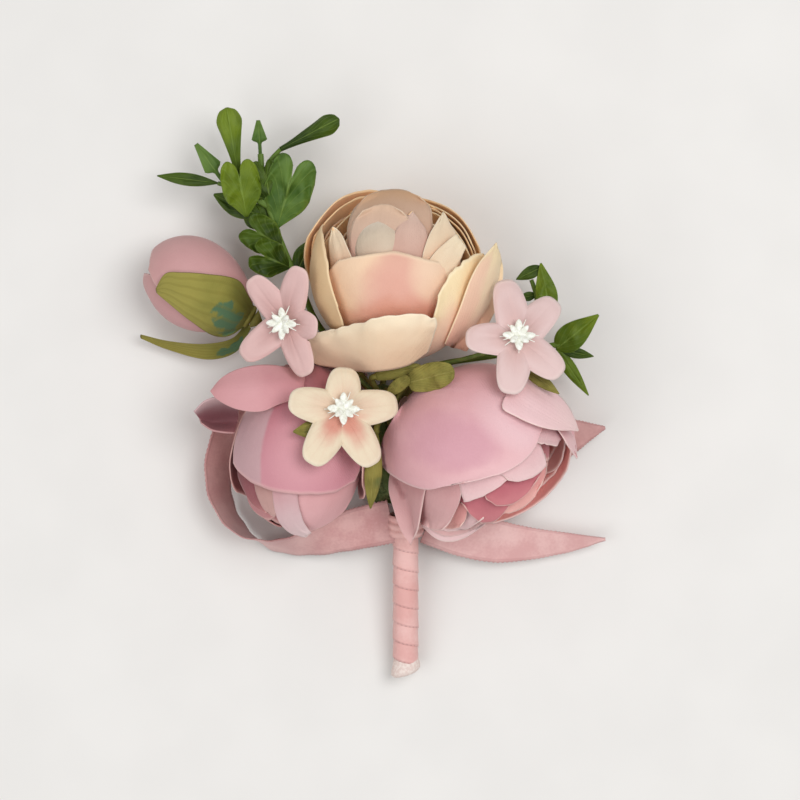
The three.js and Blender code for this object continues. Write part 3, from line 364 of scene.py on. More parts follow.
def shell_point(flower, offset, polar, azimuth):
    taper = 1 - flower["taper"] * ((1 + math.cos(polar)) / 2) ** 2
    around = (flower["radius"] + offset) * math.sin(polar) * taper
    height = -(flower["half_length"] + offset) * math.cos(polar)
    return Vector((around * math.cos(azimuth), around * math.sin(azimuth), height))


def foot_angle(flower, offset, radius):
    return math.asin(radius / ((1 - flower["taper"]) * (flower["radius"] + offset)))


def flower_place(flower):
    """From a flower's own millimetres to the frame: front, side and axis, then its middle."""
    heading, rise = math.radians(flower["heading"]), math.radians(flower["rise"])
    level = Vector((math.cos(heading), math.sin(heading), 0))
    up = Vector((0, 0, 1))
    axis = level * math.cos(rise) + up * math.sin(rise)
    front = up * math.cos(rise) - level * math.sin(rise)
    columns = Matrix((front, axis.cross(front), axis)).transposed().to_4x4()
    return Matrix.Translation(placed(flower["centre"])) @ Matrix.Scale(MM, 4) @ columns


def petal_surface(flower, petal):
    """A petal that wraps its flower from the foot to a polar reach."""
    place = flower_place(flower)
    offset = -petal["layer"] * PETAL_PITCH
    foot = foot_angle(flower, offset, NECK_HOLE)
    reach = math.radians(petal["reach"])
    lean, flare, side, slope = (petal.get(key, 0) for key in ("lean", "flare", "side", "slope"))
    lip, ruffle = petal.get("lip", 0.3), petal.get("ruffle", 0.2)
    drop, pointed = petal.get("drop", 0.15), petal.get("point", 2.4)
    seed = 1.7 * petal["layer"] + 0.13 * petal["turn"]

    def surface(u, v):
        drift = noise.noise(Vector((2.4 * u, seed, 2 * v)))
        nick = noise.noise(Vector((5 * u, seed + 5, 0)))
        fall = 1 - drop * abs(u) ** pointed * v + RIM_NICK * nick * v**6
        fall -= slope * ((1 - u) / 2) ** 2 * v
        polar = foot + (reach - foot) * v * fall
        widening = math.sin(min(1, v / PETAL_WIDEST) * math.pi / 2)
        width = (PETAL_FOOT + (1 - PETAL_FOOT) * widening) * (1 - TIP_PINCH * ease(v, 0.75, 1) ** 2)
        azimuth = math.radians(petal["turn"] + lean * v + petal["half"] * u * width)
        opening = (flare + side * (1 + u) / 2) * ease(v, FLARE_START, 1)
        rim = ease(v, LIP_START, 1) ** 2
        opening += rim * (lip + ruffle * math.sin(5 * u + seed)) + CUP_DRIFT * drift * ease(v, 0.1, 0.5)
        opening += EDGE_LIFT * ease(abs(u), 0.8, 1) ** 2 * ease(v, 0.3, 0.7)
        point = shell_point(flower, offset, polar, azimuth)
        return place @ (point + opening * Vector((math.cos(azimuth), math.sin(azimuth), 0)))

    return surface


def shell_top(flower):
    """Gives the top of a flower's shell, grown by an offset, below any place in the flower's plan."""
    back = flower_place(flower).inverted()
    middle = Vector(flower["centre"])

    def at(offset, x, y):
        long, wide = flower["half_length"] + offset, flower["radius"] + offset

        def depth(height):
            inside = back @ placed(middle + Vector((x, y, height)))
            cosine = max(-1, min(1, -inside.z / long))
            taper = 1 - flower["taper"] * ((1 + cosine) / 2) ** 2
            room = wide * math.sqrt(1 - cosine * cosine) * taper
            return room - math.hypot(inside.x, inside.y) - max(0, abs(inside.z) - long)

        step = SCAN_DEPTH * max(long, wide) / SCAN_STEPS
        heights = [SCAN_TOP * max(long, wide) - step * i for i in range(SCAN_STEPS)]
        low = next((height for height in heights if depth(height) >= 0), None)
        if low is None:
            return placed(middle + Vector((x, y, max(heights, key=depth))))
        high = low + step
        for i in range(SCAN_HALVINGS):
            mid = (low + high) / 2
            low, high = (mid, high) if depth(mid) >= 0 else (low, mid)
        return placed(middle + Vector((x, y, low)))

    return at


def draped_surface(flower, petal):
    """A petal cut between a left and a right edge in its flower's plan, lying on the shell's layers."""
    top = shell_top(flower)
    left, right = (smooth_line([Vector((*point, 0)) for point in petal[key]]) for key in ("left", "right"))
    deep, proud = petal["layers"]
    usual = {"round": 0, "puff": 0, "curve": 1, "sink": 0, "wide": 0}
    rounded, puff, curve, sink, wide = (petal.get(key, value) for key, value in usual.items())
    heading = (left(1) + right(1) - left(0) - right(0)).normalized()
    seed = left(0).x

    def surface(u, v):
        plan = left(v).lerp(right(v), (1 + u) / 2)
        plan += heading * ((1 - u * u) * (rounded * v * v))
        plan += CUT_WAVER * noise.noise_vector(Vector((4 * u, seed, 4 * v)))
        wander = noise.noise(Vector((2 * u, seed, 2.5 * v)))
        offset = -PETAL_PITCH * (deep + (proud - deep) * v**curve) + DRAPE_WANDER * wander
        swell = puff * (1 - u * u) * math.sin(math.pi * v)
        offset += swell + DRAPE_LIP * ease(v, 0.7, 1) ** 2 + wide * ease(u, -0.2, 1)
        return top(offset, plan.x, plan.y) - Vector((0, 0, sink * v * v * MM))

    return surface


def row_surface(rows, crinkle=0):
    """A sheet through rows of places in millimetres, each from foot to tip, crinkled at the tip."""
    lines = [smooth_line([Vector(point) for point in row]) for row in rows]

    def surface(u, v):
        point = smooth_line([line(v) for line in lines])((1 - u) / 2)
        return placed(point + crinkle * v * v * noise.noise_vector(Vector((8 * u, rows[0][0][0], 3 * v))))

    return surface


def petal_cloth(name, body, foot, tip, rim=None, spots=(), band=None, crease=0.5):
    """Dyed cloth: foot, body and tip colours up the petal, a worn rim, soft spots and a banded side."""

    def paint(spot, u, v):
        cloud = spot.noise(160, 3)
        climb = v + (cloud - 0.5) * 0.25
        colour = climb.ease(0.0, 0.5).blend(dye(*foot), dye(*body))
        colour = climb.ease(0.5, 1.0).blend(colour, dye(*tip))
        if band:
            edge_at, soft, stain = band
            side = (u + (cloud - 0.5) * 0.05).ease(edge_at - soft, edge_at + soft)
            colour = (side * v.ease(0.15, 0.4)).blend(colour, dye(*stain))
        for at_u, at_v, wide, tall, stain, strength in spots:
            far = ((u - at_u) / wide) ** 2 + ((v - at_v) / tall) ** 2
            mask = (far + (cloud - 0.5) * 0.8).ease(1.0, 0.05) * strength
            colour = mask.blend(colour, dye(*stain))
        near = (u.least(1 - u) * 1.6).least(1 - v)
        worn = near.ease(0.03, 0.004) * 0.75
        colour = worn.blend(colour, dye(*(rim or tip)))
        ribs = ((u - 0.5) * 90 / (v + 0.6) + spot.noise(90) * 3).wave()
        weave = (u * 420).wave() * (v * 420).wave()
        fibre = spot.noise(2400, 3)
        mottle = (fibre - 0.5) * 0.12 + (cloud - 0.5) * 0.2
        soft_light = {"data_type": "RGBA", "blend_type": "SOFT_LIGHT"}
        inputs = {MIX_FACTOR: 0.6, MIX_BASE: colour, MIX_OTHER: 0.5 + mottle}
        colour = spot.node("ShaderNodeMix", soft_light, inputs, MIX_COLOUR)
        height = ribs * (0.12 * crease) + weave * 0.06 + fibre * 0.5 + cloud * 0.6
        return {"Base Color": colour, "Roughness": 0.62 + fibre * 0.2, "Normal": height.bump(0.35, 0.0004)}

    return finish(name, paint, Sheen_Weight=0.12, Sheen_Roughness=0.4)


def add_petal(flower, petal, materials, extra=False):
    """A petal that stands for its flower's node of the same name, or an extra one that stands for none."""
    form = new_form()
    if "rows" in petal:
        add_sheet(form, row_surface(petal["rows"], petal.get("crinkle", 0)), *petal["grid"])
    elif "left" in petal:
        add_sheet(form, draped_surface(flower, petal), *petal.get("grid", DRAPE_GRID))
        bmesh.ops.remove_doubles(form, verts=form.verts, dist=MERGE)
    else:
        across = 2 * math.ceil(petal["half"] / CUP_FACE_AROUND)
        along = math.ceil(petal["reach"] / CUP_FACE_ALONG)
        add_sheet(form, petal_surface(flower, petal), across, along)
    name = flower["name"] + "_" + petal["name"]
    node = None if extra else name
    settle(name + "_cloth", form, materials, node, cloth=PETAL_CLOTH, lining=1)


def add_petals(flower, lining, petals, extras=()):
    """Adds petals, each with its outer cloth and, where it isn't the flower's usual one, its lining."""
    for group in (petals, extras):
        for petal, cloth, *own_lining in group:
            add_petal(flower, petal, [cloth, *(own_lining or [lining])], group is extras)


# Hearts: foam turned to an egg on a neck, wrapped in small petals of the same cloth
HEART_STEPS = 24
HEART_WRAPS = 6
WRAP_LAYERS = 0.27
WRAP_TURN = 137
WRAP_HALF = 62
WRAP_REACH = 174
WRAP_RETREAT = 6


def heart_profile(flower):
    offset = -flower["core_layer"] * PETAL_PITCH
    foot = foot_angle(flower, offset, NECK_RADIUS)
    profile = [Vector((radius, 0, -flower["half_length"])) for radius in (0, NECK_RADIUS)]
    for i in range(HEART_STEPS):
        profile.append(shell_point(flower, offset, foot + (math.pi - foot) * i / HEART_STEPS, 0))
    return [*profile, Vector((0, 0, flower["half_length"] + offset))]


def add_heart(flower, material, wrap):
    form = new_form()
    turn_profile(form, heart_profile(flower), flower_place(flower))
    node = flower["name"] + "_core"
    settle(node + "_foam", form, [material], node)
    for i in range(HEART_WRAPS):
        petal = dict(name=f"wrap_{i + 1}", layer=flower["core_layer"] - WRAP_LAYERS * (i + 1))
        petal.update(turn=WRAP_TURN * i, half=WRAP_HALF, reach=WRAP_REACH - WRAP_RETREAT * i)
        petal.update(drop=0.2, point=2.2, lip=0.35, ruffle=0.2)
        add_petal(flower, petal, [wrap, material], extra=True)


# Calyx cups: a green moulded cup under each flower's foot, with a boss that holds the stem wire
CALYX_SPREAD = math.radians(18)
CALYX_WALL = 0.8
CALYX_CLEARANCE = 0.4
CALYX_BOSS_RADIUS = 2.4
CALYX_BOSS_LENGTH = 2
WIRE_RADIUS = 0.7


def olive_paint(spot, u, v):
    cloud = spot.noise(220, 4)
    colour = cloud.ease(0.3, 0.7).blend(dye(112, 106, 38), dye(150, 142, 66))
    green = spot.noise(120, 2).ease(0.58, 0.72) * 0.6
    colour = green.blend(colour, dye(70, 96, 52))
    rib = (u - 0.5).size().ease(0.035, 0.0)
    veins = ((u - 0.5).size() * 60 - v * 38).wave()
    colour = (rib * 0.5 + veins.ease(0.7, 1.0) * 0.25).blend(colour, dye(168, 158, 88))
    weave = (u * 260).wave() * (v * 260).wave()
    height = rib * -0.6 + veins * 0.25 + weave * 0.2 + spot.noise(2600, 3) * 0.4
    return {"Base Color": colour, "Normal": height.bump(0.5, 0.0004)}


olive = finish("olive leaf cloth", olive_paint, Roughness=0.72)


def add_calyx(form, flower, route):
    place = flower_place(flower)
    seat = -(flower["half_length"] + CALYX_CLEARANCE)
    boss_end = seat - CALYX_WALL - CALYX_BOSS_LENGTH

    def wall(offset, share):
        return shell_point(flower, offset, CALYX_SPREAD * share, 0)

    outer = [wall(CALYX_CLEARANCE + CALYX_WALL, share) for share in (0.4, 0.6, 0.8, 0.95)]
    inner = [wall(CALYX_CLEARANCE, share) for share in (1, 0.8, 0.5)]
    boss = [(0, boss_end), (WIRE_RADIUS, boss_end), (CALYX_BOSS_RADIUS, boss_end + CALYX_BOSS_LENGTH)]
    turn_profile(form, [*lathe_line(boss), *outer, *inner, Vector((0, 0, seat))], place)
    leaving = [measured(place @ Vector((0, 0, height))) for height in (boss_end + 1, boss_end - 1)]
    add_wire(form, [*leaving, *map(Vector, route), BINDING_CENTRE], WIRE_RADIUS)


def add_cup(flower, route):
    form = new_form()
    add_calyx(form, flower, route)
    node = flower["name"] + "_calyx"
    settle(node + "_cup", form, [olive], node)


# Left rose
# Dusky pink, opening towards the bottom of the spray: a wide front petal with a faded lilac side, and one
# outer petal over a curled tip that shows its dark lining.
left_rose = dict(name="left_rose", slot="dusky_cloth", radius=17, half_length=22, taper=0.2)
left_rose.update(heading=261, rise=8, core_layer=5, centre=(-18.5, -0.8, 16.21))
dusky = petal_cloth("dusky petal", (204, 142, 140), (186, 116, 114), (212, 156, 150), (226, 184, 176))
dusky_outer = petal_cloth("dusky outer", (208, 152, 156), (200, 138, 144), (200, 144, 146), (220, 172, 170))
dusky_lining = petal_cloth("dusky lining", (146, 80, 86), (116, 52, 58), (184, 122, 122), (220, 168, 162))
# The front petal's near-black foot colour is painted shade: it stands in for the dark gap under the rose.
dusky_front_shaded_foot = petal_cloth(
    "dusky front petal with painted shade at the foot", (192, 124, 134), (106, 60, 54), (200, 138, 148), (226, 180, 178),
    spots=[(0.42, 0.75, 0.3, 0.3, (208, 150, 158), 0.7), (0.3, 0.35, 0.2, 0.3, (192, 118, 126), 0.6)],
    band=(0.7, 0.015, (194, 156, 160)),
)
dusky_wrap = petal_cloth("dusky heart", (176, 104, 110), (150, 80, 88), (192, 128, 130), (220, 172, 166))
dusky_pale = petal_cloth("faded lilac", (210, 178, 180), (196, 146, 150), (218, 192, 192), (238, 218, 212))
dusky_faded = petal_cloth("faded petal", (190, 148, 142), (172, 122, 118), (194, 154, 148), (222, 188, 180))
dusky_low = petal_cloth("dusky low", (212, 158, 160), (196, 132, 136), (214, 164, 166), (234, 192, 186))
curl_cloth = petal_cloth("curled tip", (128, 78, 84), (206, 172, 174), (150, 96, 100), (204, 160, 158))
left_rose_petals = [
    (dict(name="outer_left", grid=(30, 36), rows=[
        [(-17.5, 11.8, 27.4), (-22.9, 10.1, 28.5), (-26.9, 8.5, 29.3), (-32.4, 9, 29), (-36.9, 11.2, 27.5),
         (-38.5, 13, 26.5)],
        [(-17.4, 14.5, 25.6), (-22.6, 14.4, 27), (-27.5, 14, 28), (-32.4, 13.6, 28), (-36.4, 13.6, 27.2),
         (-38.5, 13, 26.5)],
        [(-17.2, 17.2, 22), (-22, 18.6, 22.6), (-27, 19, 23.6), (-32.4, 18, 24.6), (-36, 16, 25.6),
         (-38.5, 13, 26.5)],
    ]), dusky_outer, dusky_outer),
    (dict(name="under", layer=0, turn=180, half=44, reach=112), dusky),
    (dict(name="outer_right", layer=0, turn=-95, half=36, reach=112), dusky),
    (dict(name="front", layer=1, turn=4, half=70, reach=122, lip=0.1, ruffle=0.1), dusky_front_shaded_foot),
    (dict(name="far_left", layer=1, turn=120, half=42, reach=122), dusky),
    (dict(name="strip", left=[(-0.5, -5), (0.2, -12.5), (1.4, -16.3), (2.8, -18.2)],
          right=[(-5.9, -3), (-5.6, -11.2), (-4.6, -15.4), (-1.9, -18.4), (1.1, -19.3)],
          layers=(1.9, 1.4)), dusky_pale),
    (dict(name="low_right", layer=2.6, turn=-36, half=52, reach=164, drop=0.25, point=2, lip=0.1),
     dusky_low),
]
left_rose_extras = [
    (dict(name="side_dark", left=[(-7.8, -3), (-6.6, -9.3), (-5.6, -14.1)],
          right=[(-15.4, 1), (-13.8, -6.1), (-11, -11.2), (-7.8, -13.5)],
          layers=(2.6, 2.2)), dusky_lining),
    (dict(name="side_strip", left=[(-4.9, -3.2), (-4.9, -10), (-5.4, -14.3)],
          right=[(-10.2, -2.2), (-9.7, -8.7), (-8.1, -12.5), (-6.2, -14.2)],
          layers=(2.2, 1.8)), dusky_faded),
]
add_petals(left_rose, dusky_lining, left_rose_petals, left_rose_extras)

CURL_GRID = (24, 24)
curl = new_form()
curl_rows = [
    [(-42.6, 8.4, 21.6), (-42.3, 7.8, 19.2), (-41.6, 6.6, 17.6), (-41.2, 5.8, 19)],
    [(-39.8, 10.9, 24.4), (-39.5, 9, 19), (-38.8, 6, 15.8), (-38.8, 4.2, 19.5)],
    [(-36, 11.7, 26.4), (-36, 9.6, 19.5), (-35.8, 6.2, 15.3), (-36, 3.6, 19.5)],
    [(-32.5, 10.2, 27.4), (-32.5, 9, 21), (-32.8, 6.4, 16.5), (-33.6, 3.4, 18.5)],
]
add_sheet(curl, row_surface(curl_rows), *CURL_GRID)
settle("left_rose_curled_tip", curl, [curl_cloth, dusky], cloth=PETAL_CLOTH, lining=1)
add_heart(left_rose, dusky_lining, dusky_wrap)
add_cup(left_rose, [(-9, 21.5, 14), (-4, 16, 13)])

# Right rose
# Mauve pink, opening towards the lower right: a smooth round front petal, a pale one folded over the top,
# and thin deep rose petals nested in the mouth with light cut rims.
right_rose = dict(name="right_rose", slot="mauve_cloth", radius=20.8, half_length=21.5, taper=0.12)
right_rose.update(heading=330, rise=18, core_layer=7, centre=(22.3, 0, 20.09))
mauve = petal_cloth("mauve petal", (208, 160, 160), (194, 138, 138), (216, 174, 172), (234, 204, 198))
mauve_lining = petal_cloth("rose lining", (186, 96, 108), (160, 68, 82), (206, 132, 134), (232, 184, 176))
mauve_front = petal_cloth(
    "mauve front petal", (218, 167, 172), (210, 156, 160), (228, 184, 187), (240, 206, 204),
    spots=[(0.62, 0.5, 0.26, 0.34, (206, 152, 164), 0.75), (0.25, 0.7, 0.25, 0.3, (230, 194, 198), 0.7)],
)
mauve_pale = petal_cloth("pale pink", (234, 196, 198), (228, 180, 184), (238, 206, 204), (246, 224, 216))
mauve_flap = petal_cloth("pink inner", (226, 186, 188), (212, 158, 162), (228, 194, 194), (242, 218, 210))
# Lightened pink: painted bounce light on petals deep in the shaded mouth.
mauve_band_painted_glow = petal_cloth("nested mouth with painted glow", (224, 154, 150), (190, 100, 106), (232, 176, 168), (244, 212, 200))
# Bright, saturated lining: painted bounce light in the shaded mouth of the rose.
mauve_mouth_painted_glow = petal_cloth("mouth lining with painted glow", (240, 142, 138), (230, 122, 122), (240, 162, 154), (246, 210, 200))
mauve_deep = petal_cloth("deep pink", (186, 102, 112), (164, 76, 88), (196, 118, 124), (236, 196, 186))
mauve_dark = petal_cloth("rose heart", (170, 76, 86), (146, 56, 68), (190, 102, 108), (226, 168, 160))
right_rose_petals = [
    (dict(name="upper", left=[(8.5, 20), (12.6, 17), (16.4, 13.5), (20.2, 9.3), (22, 4.2)],
          right=[(8.2, 18.4), (6.6, 14), (4.6, 9.4), (7.7, 7.4), (12.5, 5.4), (16.6, 4.4), (22, 4.2)],
          layers=(0, -2.8)), mauve_pale, mauve_pale),
    (dict(name="low_tip", left=[(-10.5, -3), (-12.2, -8.5), (-13.2, -13.6), (-13.9, -17.7), (-15.5, -21.9)],
          right=[(-17, -2.6), (-20, -5), (-20.6, -8.6), (-19.6, -13.6), (-17.9, -18.4), (-15.5, -21.9)],
          layers=(2.4, -7), curve=1.7), mauve),
    (dict(name="under", layer=0, turn=185, half=52, reach=148, drop=0.06, slope=0.2), mauve, mauve_mouth_painted_glow),
    (dict(name="front", left=[(-15, 13), (-8, 17.5), (0, 19.4), (8, 17.8), (13.6, 13), (15, 8), (13.2, 4.3)],
          right=[(-19, 8), (-21.8, 2), (-22.2, -3.6), (-17.9, -7), (-12.4, -8.8), (-8.2, -8.1), (-4.1, -7)],
          layers=(1, 0.7), wide=2.2, round=4, grid=(44, 44)), mauve_front),
    (dict(name="under_left", layer=1.1, turn=136, half=38, reach=106), mauve),
    (dict(name="low", left=[(-4, -3), (-4.1, -7.4), (-4.8, -11.5), (-6.5, -15.7), (-8.6, -18.2)],
          right=[(-14.6, -3), (-14.4, -8.1), (-14.4, -14), (-13, -17.2)],
          layers=(2.6, -1.6), curve=1.8, round=0.5), mauve),
    (dict(name="under_right", layer=2, turn=-138, half=42, reach=144), mauve, mauve_band_painted_glow),
    (dict(name="inner_pale", left=[(8.5, -1), (7.8, -3.8), (6.6, -5.9)],
          right=[(-6, -4), (-4.8, -8), (-3.8, -11.6)], layers=(2.4, 1.7), round=1), mauve_flap),
    (dict(name="inner_flap", layer=4.8, turn=-14, half=40, reach=146, drop=0.3, point=1.6), mauve_dark),
]
right_rose_extras = [
    (dict(name="second_flap", left=[(11.5, 3.5), (13.4, 0.6), (14.7, -3.2)],
          right=[(2, -2.5), (4, -5), (6, -6.8)], layers=(2.1, 1.2), round=1.5), mauve_flap),
    (dict(name="lobe_low", left=[(9, -6), (8.4, -9), (7.1, -11.2)],
          right=[(-5.6, -7.4), (-5, -10.6), (-3.7, -12.6)], layers=(4.6, 2.6), round=4.7),
     mauve_deep),
    (dict(name="lobe_right", left=[(14, -1), (13.6, -4.6), (12.5, -7)],
          right=[(0.6, -6), (0.4, -9), (1.2, -11)], layers=(4.2, 2), round=3.3), mauve_deep),
    (dict(name="lobe_under", left=[(14.6, -1), (14.8, -5), (13.6, -8.2)],
          right=[(2, -8), (3, -12), (4.6, -14.2)], layers=(5, 3.4), round=2), mauve_band_painted_glow),
    (dict(name="low_second", left=[(-1.5, -6), (-2.6, -11.8), (-3.2, -15.3), (-4.5, -17.6)],
          right=[(-9, -6), (-10, -12), (-10, -16), (-9, -18)], layers=(5, 1.4), round=0.4),
     mauve_band_painted_glow),
    (dict(name="second_rim", left=[(1.5, -10), (1.4, -13.6), (0.6, -15.6)],
          right=[(-12.5, -10), (-12.6, -15), (-11.5, -17.1)], layers=(5.4, 2.4), round=2.4),
     mauve_flap),
    (dict(name="third_rim", left=[(2.3, -10), (2.1, -14), (1, -16.2)],
          right=[(-12.8, -10), (-13.2, -15), (-12.4, -17.4)], layers=(5.8, 2.8),
          round=3.3, sink=0.7), mauve),
    (dict(name="low_rim", left=[(3, -10), (2.8, -14.2), (1.4, -16.8)],
          right=[(-13, -10), (-13.8, -15), (-13.2, -17.6)], layers=(6.2, 3.2),
          round=4.2, sink=1.4), mauve_flap),
    (dict(name="mouth_fold", left=[(19.4, 6), (18.6, 3), (17, 0.8)],
          right=[(12.8, 6.5), (12.3, 3.6), (12, 1.6)], layers=(1.6, 1.2)), mauve_flap),
    (dict(name="mouth_curl", left=[(21.4, 5.5), (21.9, 2), (21.8, -2)],
          right=[(16.6, 5.5), (18.8, 2), (20.6, -0.6), (21.8, -2)], layers=(0.4, -1.6)), mauve_flap),
]
right_rose_extras += [
    (dict(name=name, layer=layer, turn=turn, half=half, reach=reach, drop=drop, slope=slope),
     mauve, mauve_mouth_painted_glow)
    for name, layer, turn, half, reach, drop, slope in (
        ("second_band", 1.3, 190, 50, 143, 0.06, 0.24),
        ("third_band", 2.5, 203, 48, 134, 0.08, 0.16),
        ("fourth_band", 3.6, 212, 46, 124, 0.1, 0.16),
        ("fifth_band", 4.6, 214, 50, 131, 0.1, 0.14),
    )
]
add_petals(right_rose, mauve_lining, right_rose_petals, right_rose_extras)
add_heart(right_rose, mauve_lining, mauve_deep)
add_cup(right_rose, [])

# Peach rose
# The fullest flower, nested above the other two: cream cloth sprayed with a coral blush, many thin petals
# behind, and a front petal whose rim is rolled out.
peach_rose = dict(name="peach_rose", slot="peach_cloth", radius=21.8, half_length=21, taper=0.25)
peach_rose.update(heading=86, rise=42, core_layer=8.6, centre=(3.4, 38.62, 19.51))
peach = petal_cloth("peach petal", (226, 188, 142), (214, 158, 120), (232, 198, 152), (240, 214, 174))
# Brightened lining: painted glow of light through the thin cloth, lifting the shaded inside of the back
# petals.
peach_lining_painted_glow = petal_cloth(
    "peach lining with painted glow", (250, 204, 152), (244, 186, 140), (252, 210, 162), (250, 222, 184)
)
peach_roll = petal_cloth("cream rolled", (242, 216, 184), (238, 204, 172), (246, 228, 198), (248, 234, 208))
peach_strip = petal_cloth(
    "cream strip petal", (240, 214, 180), (238, 184, 160), (244, 222, 178), (248, 230, 194),
    spots=[(0.2, 0.5, 0.3, 0.45, (240, 194, 170), 0.7)],
)
peach_front = petal_cloth(
    "blushed front petal", (226, 186, 152), (212, 142, 118), (236, 202, 170), (240, 214, 184),
    spots=[(0.56, 0.8, 0.4, 0.3, (218, 162, 146), 0.8), (0.6, 0.6, 0.46, 0.2, (210, 144, 120), 0.85),
           (0.86, 0.9, 0.32, 0.22, (236, 208, 178), 0.75)],
    band=(0.34, 0.1, (224, 178, 154)),
)
peach_inner = petal_cloth("cream inner", (230, 206, 176), (222, 180, 150), (234, 216, 186), (242, 228, 204))
peach_heart = petal_cloth("pink heart", (210, 176, 160), (196, 154, 138), (216, 186, 170), (230, 206, 192))
peach_veil = petal_cloth("thin back", (200, 166, 142), (198, 156, 136), (188, 150, 116), (218, 190, 162))
peach_cup = petal_cloth("inner cup", (206, 174, 152), (200, 160, 142), (208, 176, 150), (228, 202, 176))
peach_rim = petal_cloth("tan rim petal", (220, 168, 116), (206, 146, 104), (222, 174, 122), (240, 208, 164))
peach_white = petal_cloth("white heart", (208, 190, 168), (196, 168, 146), (220, 206, 188), (228, 218, 204))
peach_rose_petals = [
    (dict(name="front_roll", grid=(60, 30), crinkle=0.6, rows=[
        [(10.5, 21.8, 28.5), (11.8, 25.4, 33.4), (12.3, 27.4, 36.2), (12.2, 29.2, 37.6)],
        [(6.1, 18.9, 27.5), (6.9, 23.4, 34), (7.3, 27, 37.8), (7.4, 29.9, 39.8)],
        [(-1.3, 17.5, 26.5), (-0.9, 22.6, 33.4), (-0.8, 26.4, 37.6), (-0.6, 29.2, 39.8)],
        [(-6.4, 17.7, 23), (-6.3, 22.2, 28.6), (-6.1, 25.4, 32.6), (-5.8, 28, 35)],
        [(-10.7, 18.5, 20), (-11.1, 22, 24.4), (-11, 24.8, 27.6), (-10.7, 27, 29.8)],
        [(-14.6, 19.2, 18.8), (-15.6, 21.8, 21.6), (-15.6, 24.2, 23.8), (-15, 26.4, 25.4)],
        [(-16.8, 20.6, 18.4), (-18.2, 22.4, 20), (-18.4, 24.2, 21.4), (-17.6, 25.8, 22.4)],
    ]), peach_roll, peach_roll),
    (dict(name="right_tip", left=[(11, -15), (14.5, -6), (18.5, 3), (22.5, 7.7)],
          right=[(16, -16.5), (21.5, -9.5), (24, -2), (24.2, 3), (22.5, 7.7)], layers=(-0.5, -4.5)),
     peach_strip),
    (dict(name="back_left", layer=0, turn=-138, half=40, reach=127, point=2.5, flare=0.8), peach_rim),
    (dict(name="right_strip", layer=0.6, turn=46, lean=12, half=31, reach=131, drop=0.09, point=2,
          flare=0.6), peach_strip),
    (dict(name="outer_left", layer=1, turn=-82, half=48, reach=126, drop=0.2, point=2.2), peach),
    (dict(name="back_right", layer=2, turn=145, half=42, reach=128, point=2.5, flare=0.5), peach_rim),
    (dict(name="back", layer=3, turn=180, half=45, reach=135, point=2.5), peach_rim),
    (dict(name="front", layer=3, turn=0, half=62, reach=149, point=2.5, ruffle=0.7), peach_front),
    (dict(name="inner_right", left=[(5, 0), (7.1, 8.4), (10.6, 14.6)],
          right=[(14.4, 2), (13.9, 8.4), (12.2, 12), (10.6, 14.6)], layers=(4, 1.2)), peach_inner),
    (dict(name="inner_left", left=[(-14.2, 0), (-15, 7.6), (-14.2, 11.3)],
          right=[(-8, 0), (-11, 6.6), (-12.8, 10.3), (-14.2, 11.3)], layers=(4.6, 0.9), curve=0.8),
     peach_inner),
    (dict(name="inner_back", left=[(-10.6, 4), (-10.9, 11), (-9.5, 15.5), (-6.6, 18.4)],
          right=[(8.4, 4), (8.2, 11.3), (7.6, 15.8), (5.4, 18.2)], layers=(5, 0.4), round=1.7), peach_veil),
    (dict(name="heart_right", left=[(-2.4, 1), (-0.5, 9), (1.3, 12.3), (3.6, 14.6)],
          right=[(7.6, 0), (7.4, 7.4), (6.6, 10.2), (5.2, 12.6), (3.6, 14.6)], layers=(4.4, 2.2), puff=0.6),
     peach_heart),
    (dict(name="heart_left", left=[(-8.6, 2), (-8.9, 8), (-7, 11.2)],
          right=[(0, 2), (0.6, 9), (-1.2, 11.8)], layers=(4.8, 3.6), round=1.4, puff=1.6), peach_white),
]
peach_rose_extras = [
    (dict(name="second_point", left=[(4, -1), (9, 5.6), (13.4, 9.4)],
          right=[(10, -5), (13, 1), (15.6, 6.6)], layers=(3.7, 0.8)), peach_inner),
    (dict(name="veil_second", left=[(-10.4, 4), (-10.3, 9.7), (-9.3, 12.8), (-7.4, 14.6)],
          right=[(3.4, 4), (3.2, 10), (2.7, 13), (1.4, 14.4)], layers=(4.9, 0.9), round=1.7),
     peach_cup),
]
peach_rose_extras += [
    (dict(name=name, layer=layer, turn=turn, half=half, reach=reach, drop=0.12), cloth)
    for name, layer, turn, half, reach, cloth in (
        ("left_second", 0.9, -140, 38, 124, peach_rim),
        ("left_third", 3, -138, 40, 114, peach_veil),
        ("left_fourth", 3.9, -140, 36, 122, peach),
        ("right_second", 2.8, 138, 40, 129, peach),
        ("right_third", 3.7, 136, 40, 130, peach_rim),
        ("right_fourth", 4.6, 132, 42, 130, peach),
    )
]
add_petals(peach_rose, peach_lining_painted_glow, peach_rose_petals, peach_rose_extras)
add_heart(peach_rose, peach_heart, peach_inner)
add_cup(peach_rose, [(0.6, 16.5, 5), (0.2, 14, 8.5)])

# Bud
# Two old-pink petals wrapped round a heart that is moulded in one with its cup; two printed olive sepals
# hug it, with a blotch of blue-green dye near their foot.
bud = dict(name="bud", slot="bud_cloth", radius=11.3, half_length=13.5, taper=0.25)
bud.update(heading=150, rise=5, core_layer=2, centre=(-42.4, 37.2, 11.72))
bud_pink = petal_cloth("bud petal", (198, 150, 150), (184, 130, 130), (198, 152, 150), (218, 180, 174))
bud_petals = [
    (dict(name="upper", layer=0, turn=62, half=92, reach=168, drop=0.12, point=2.2, lip=0.1, ruffle=0.1),
     bud_pink),
    (dict(name="lower", layer=0.4, turn=-74, half=70, reach=158, drop=0.2, point=1.6, side=-1.5), bud_pink),
]
add_petals(bud, dusky_lining, bud_petals)
SEPAL_CLOTH = 0.35
SEPAL_GRID = (40, 52)


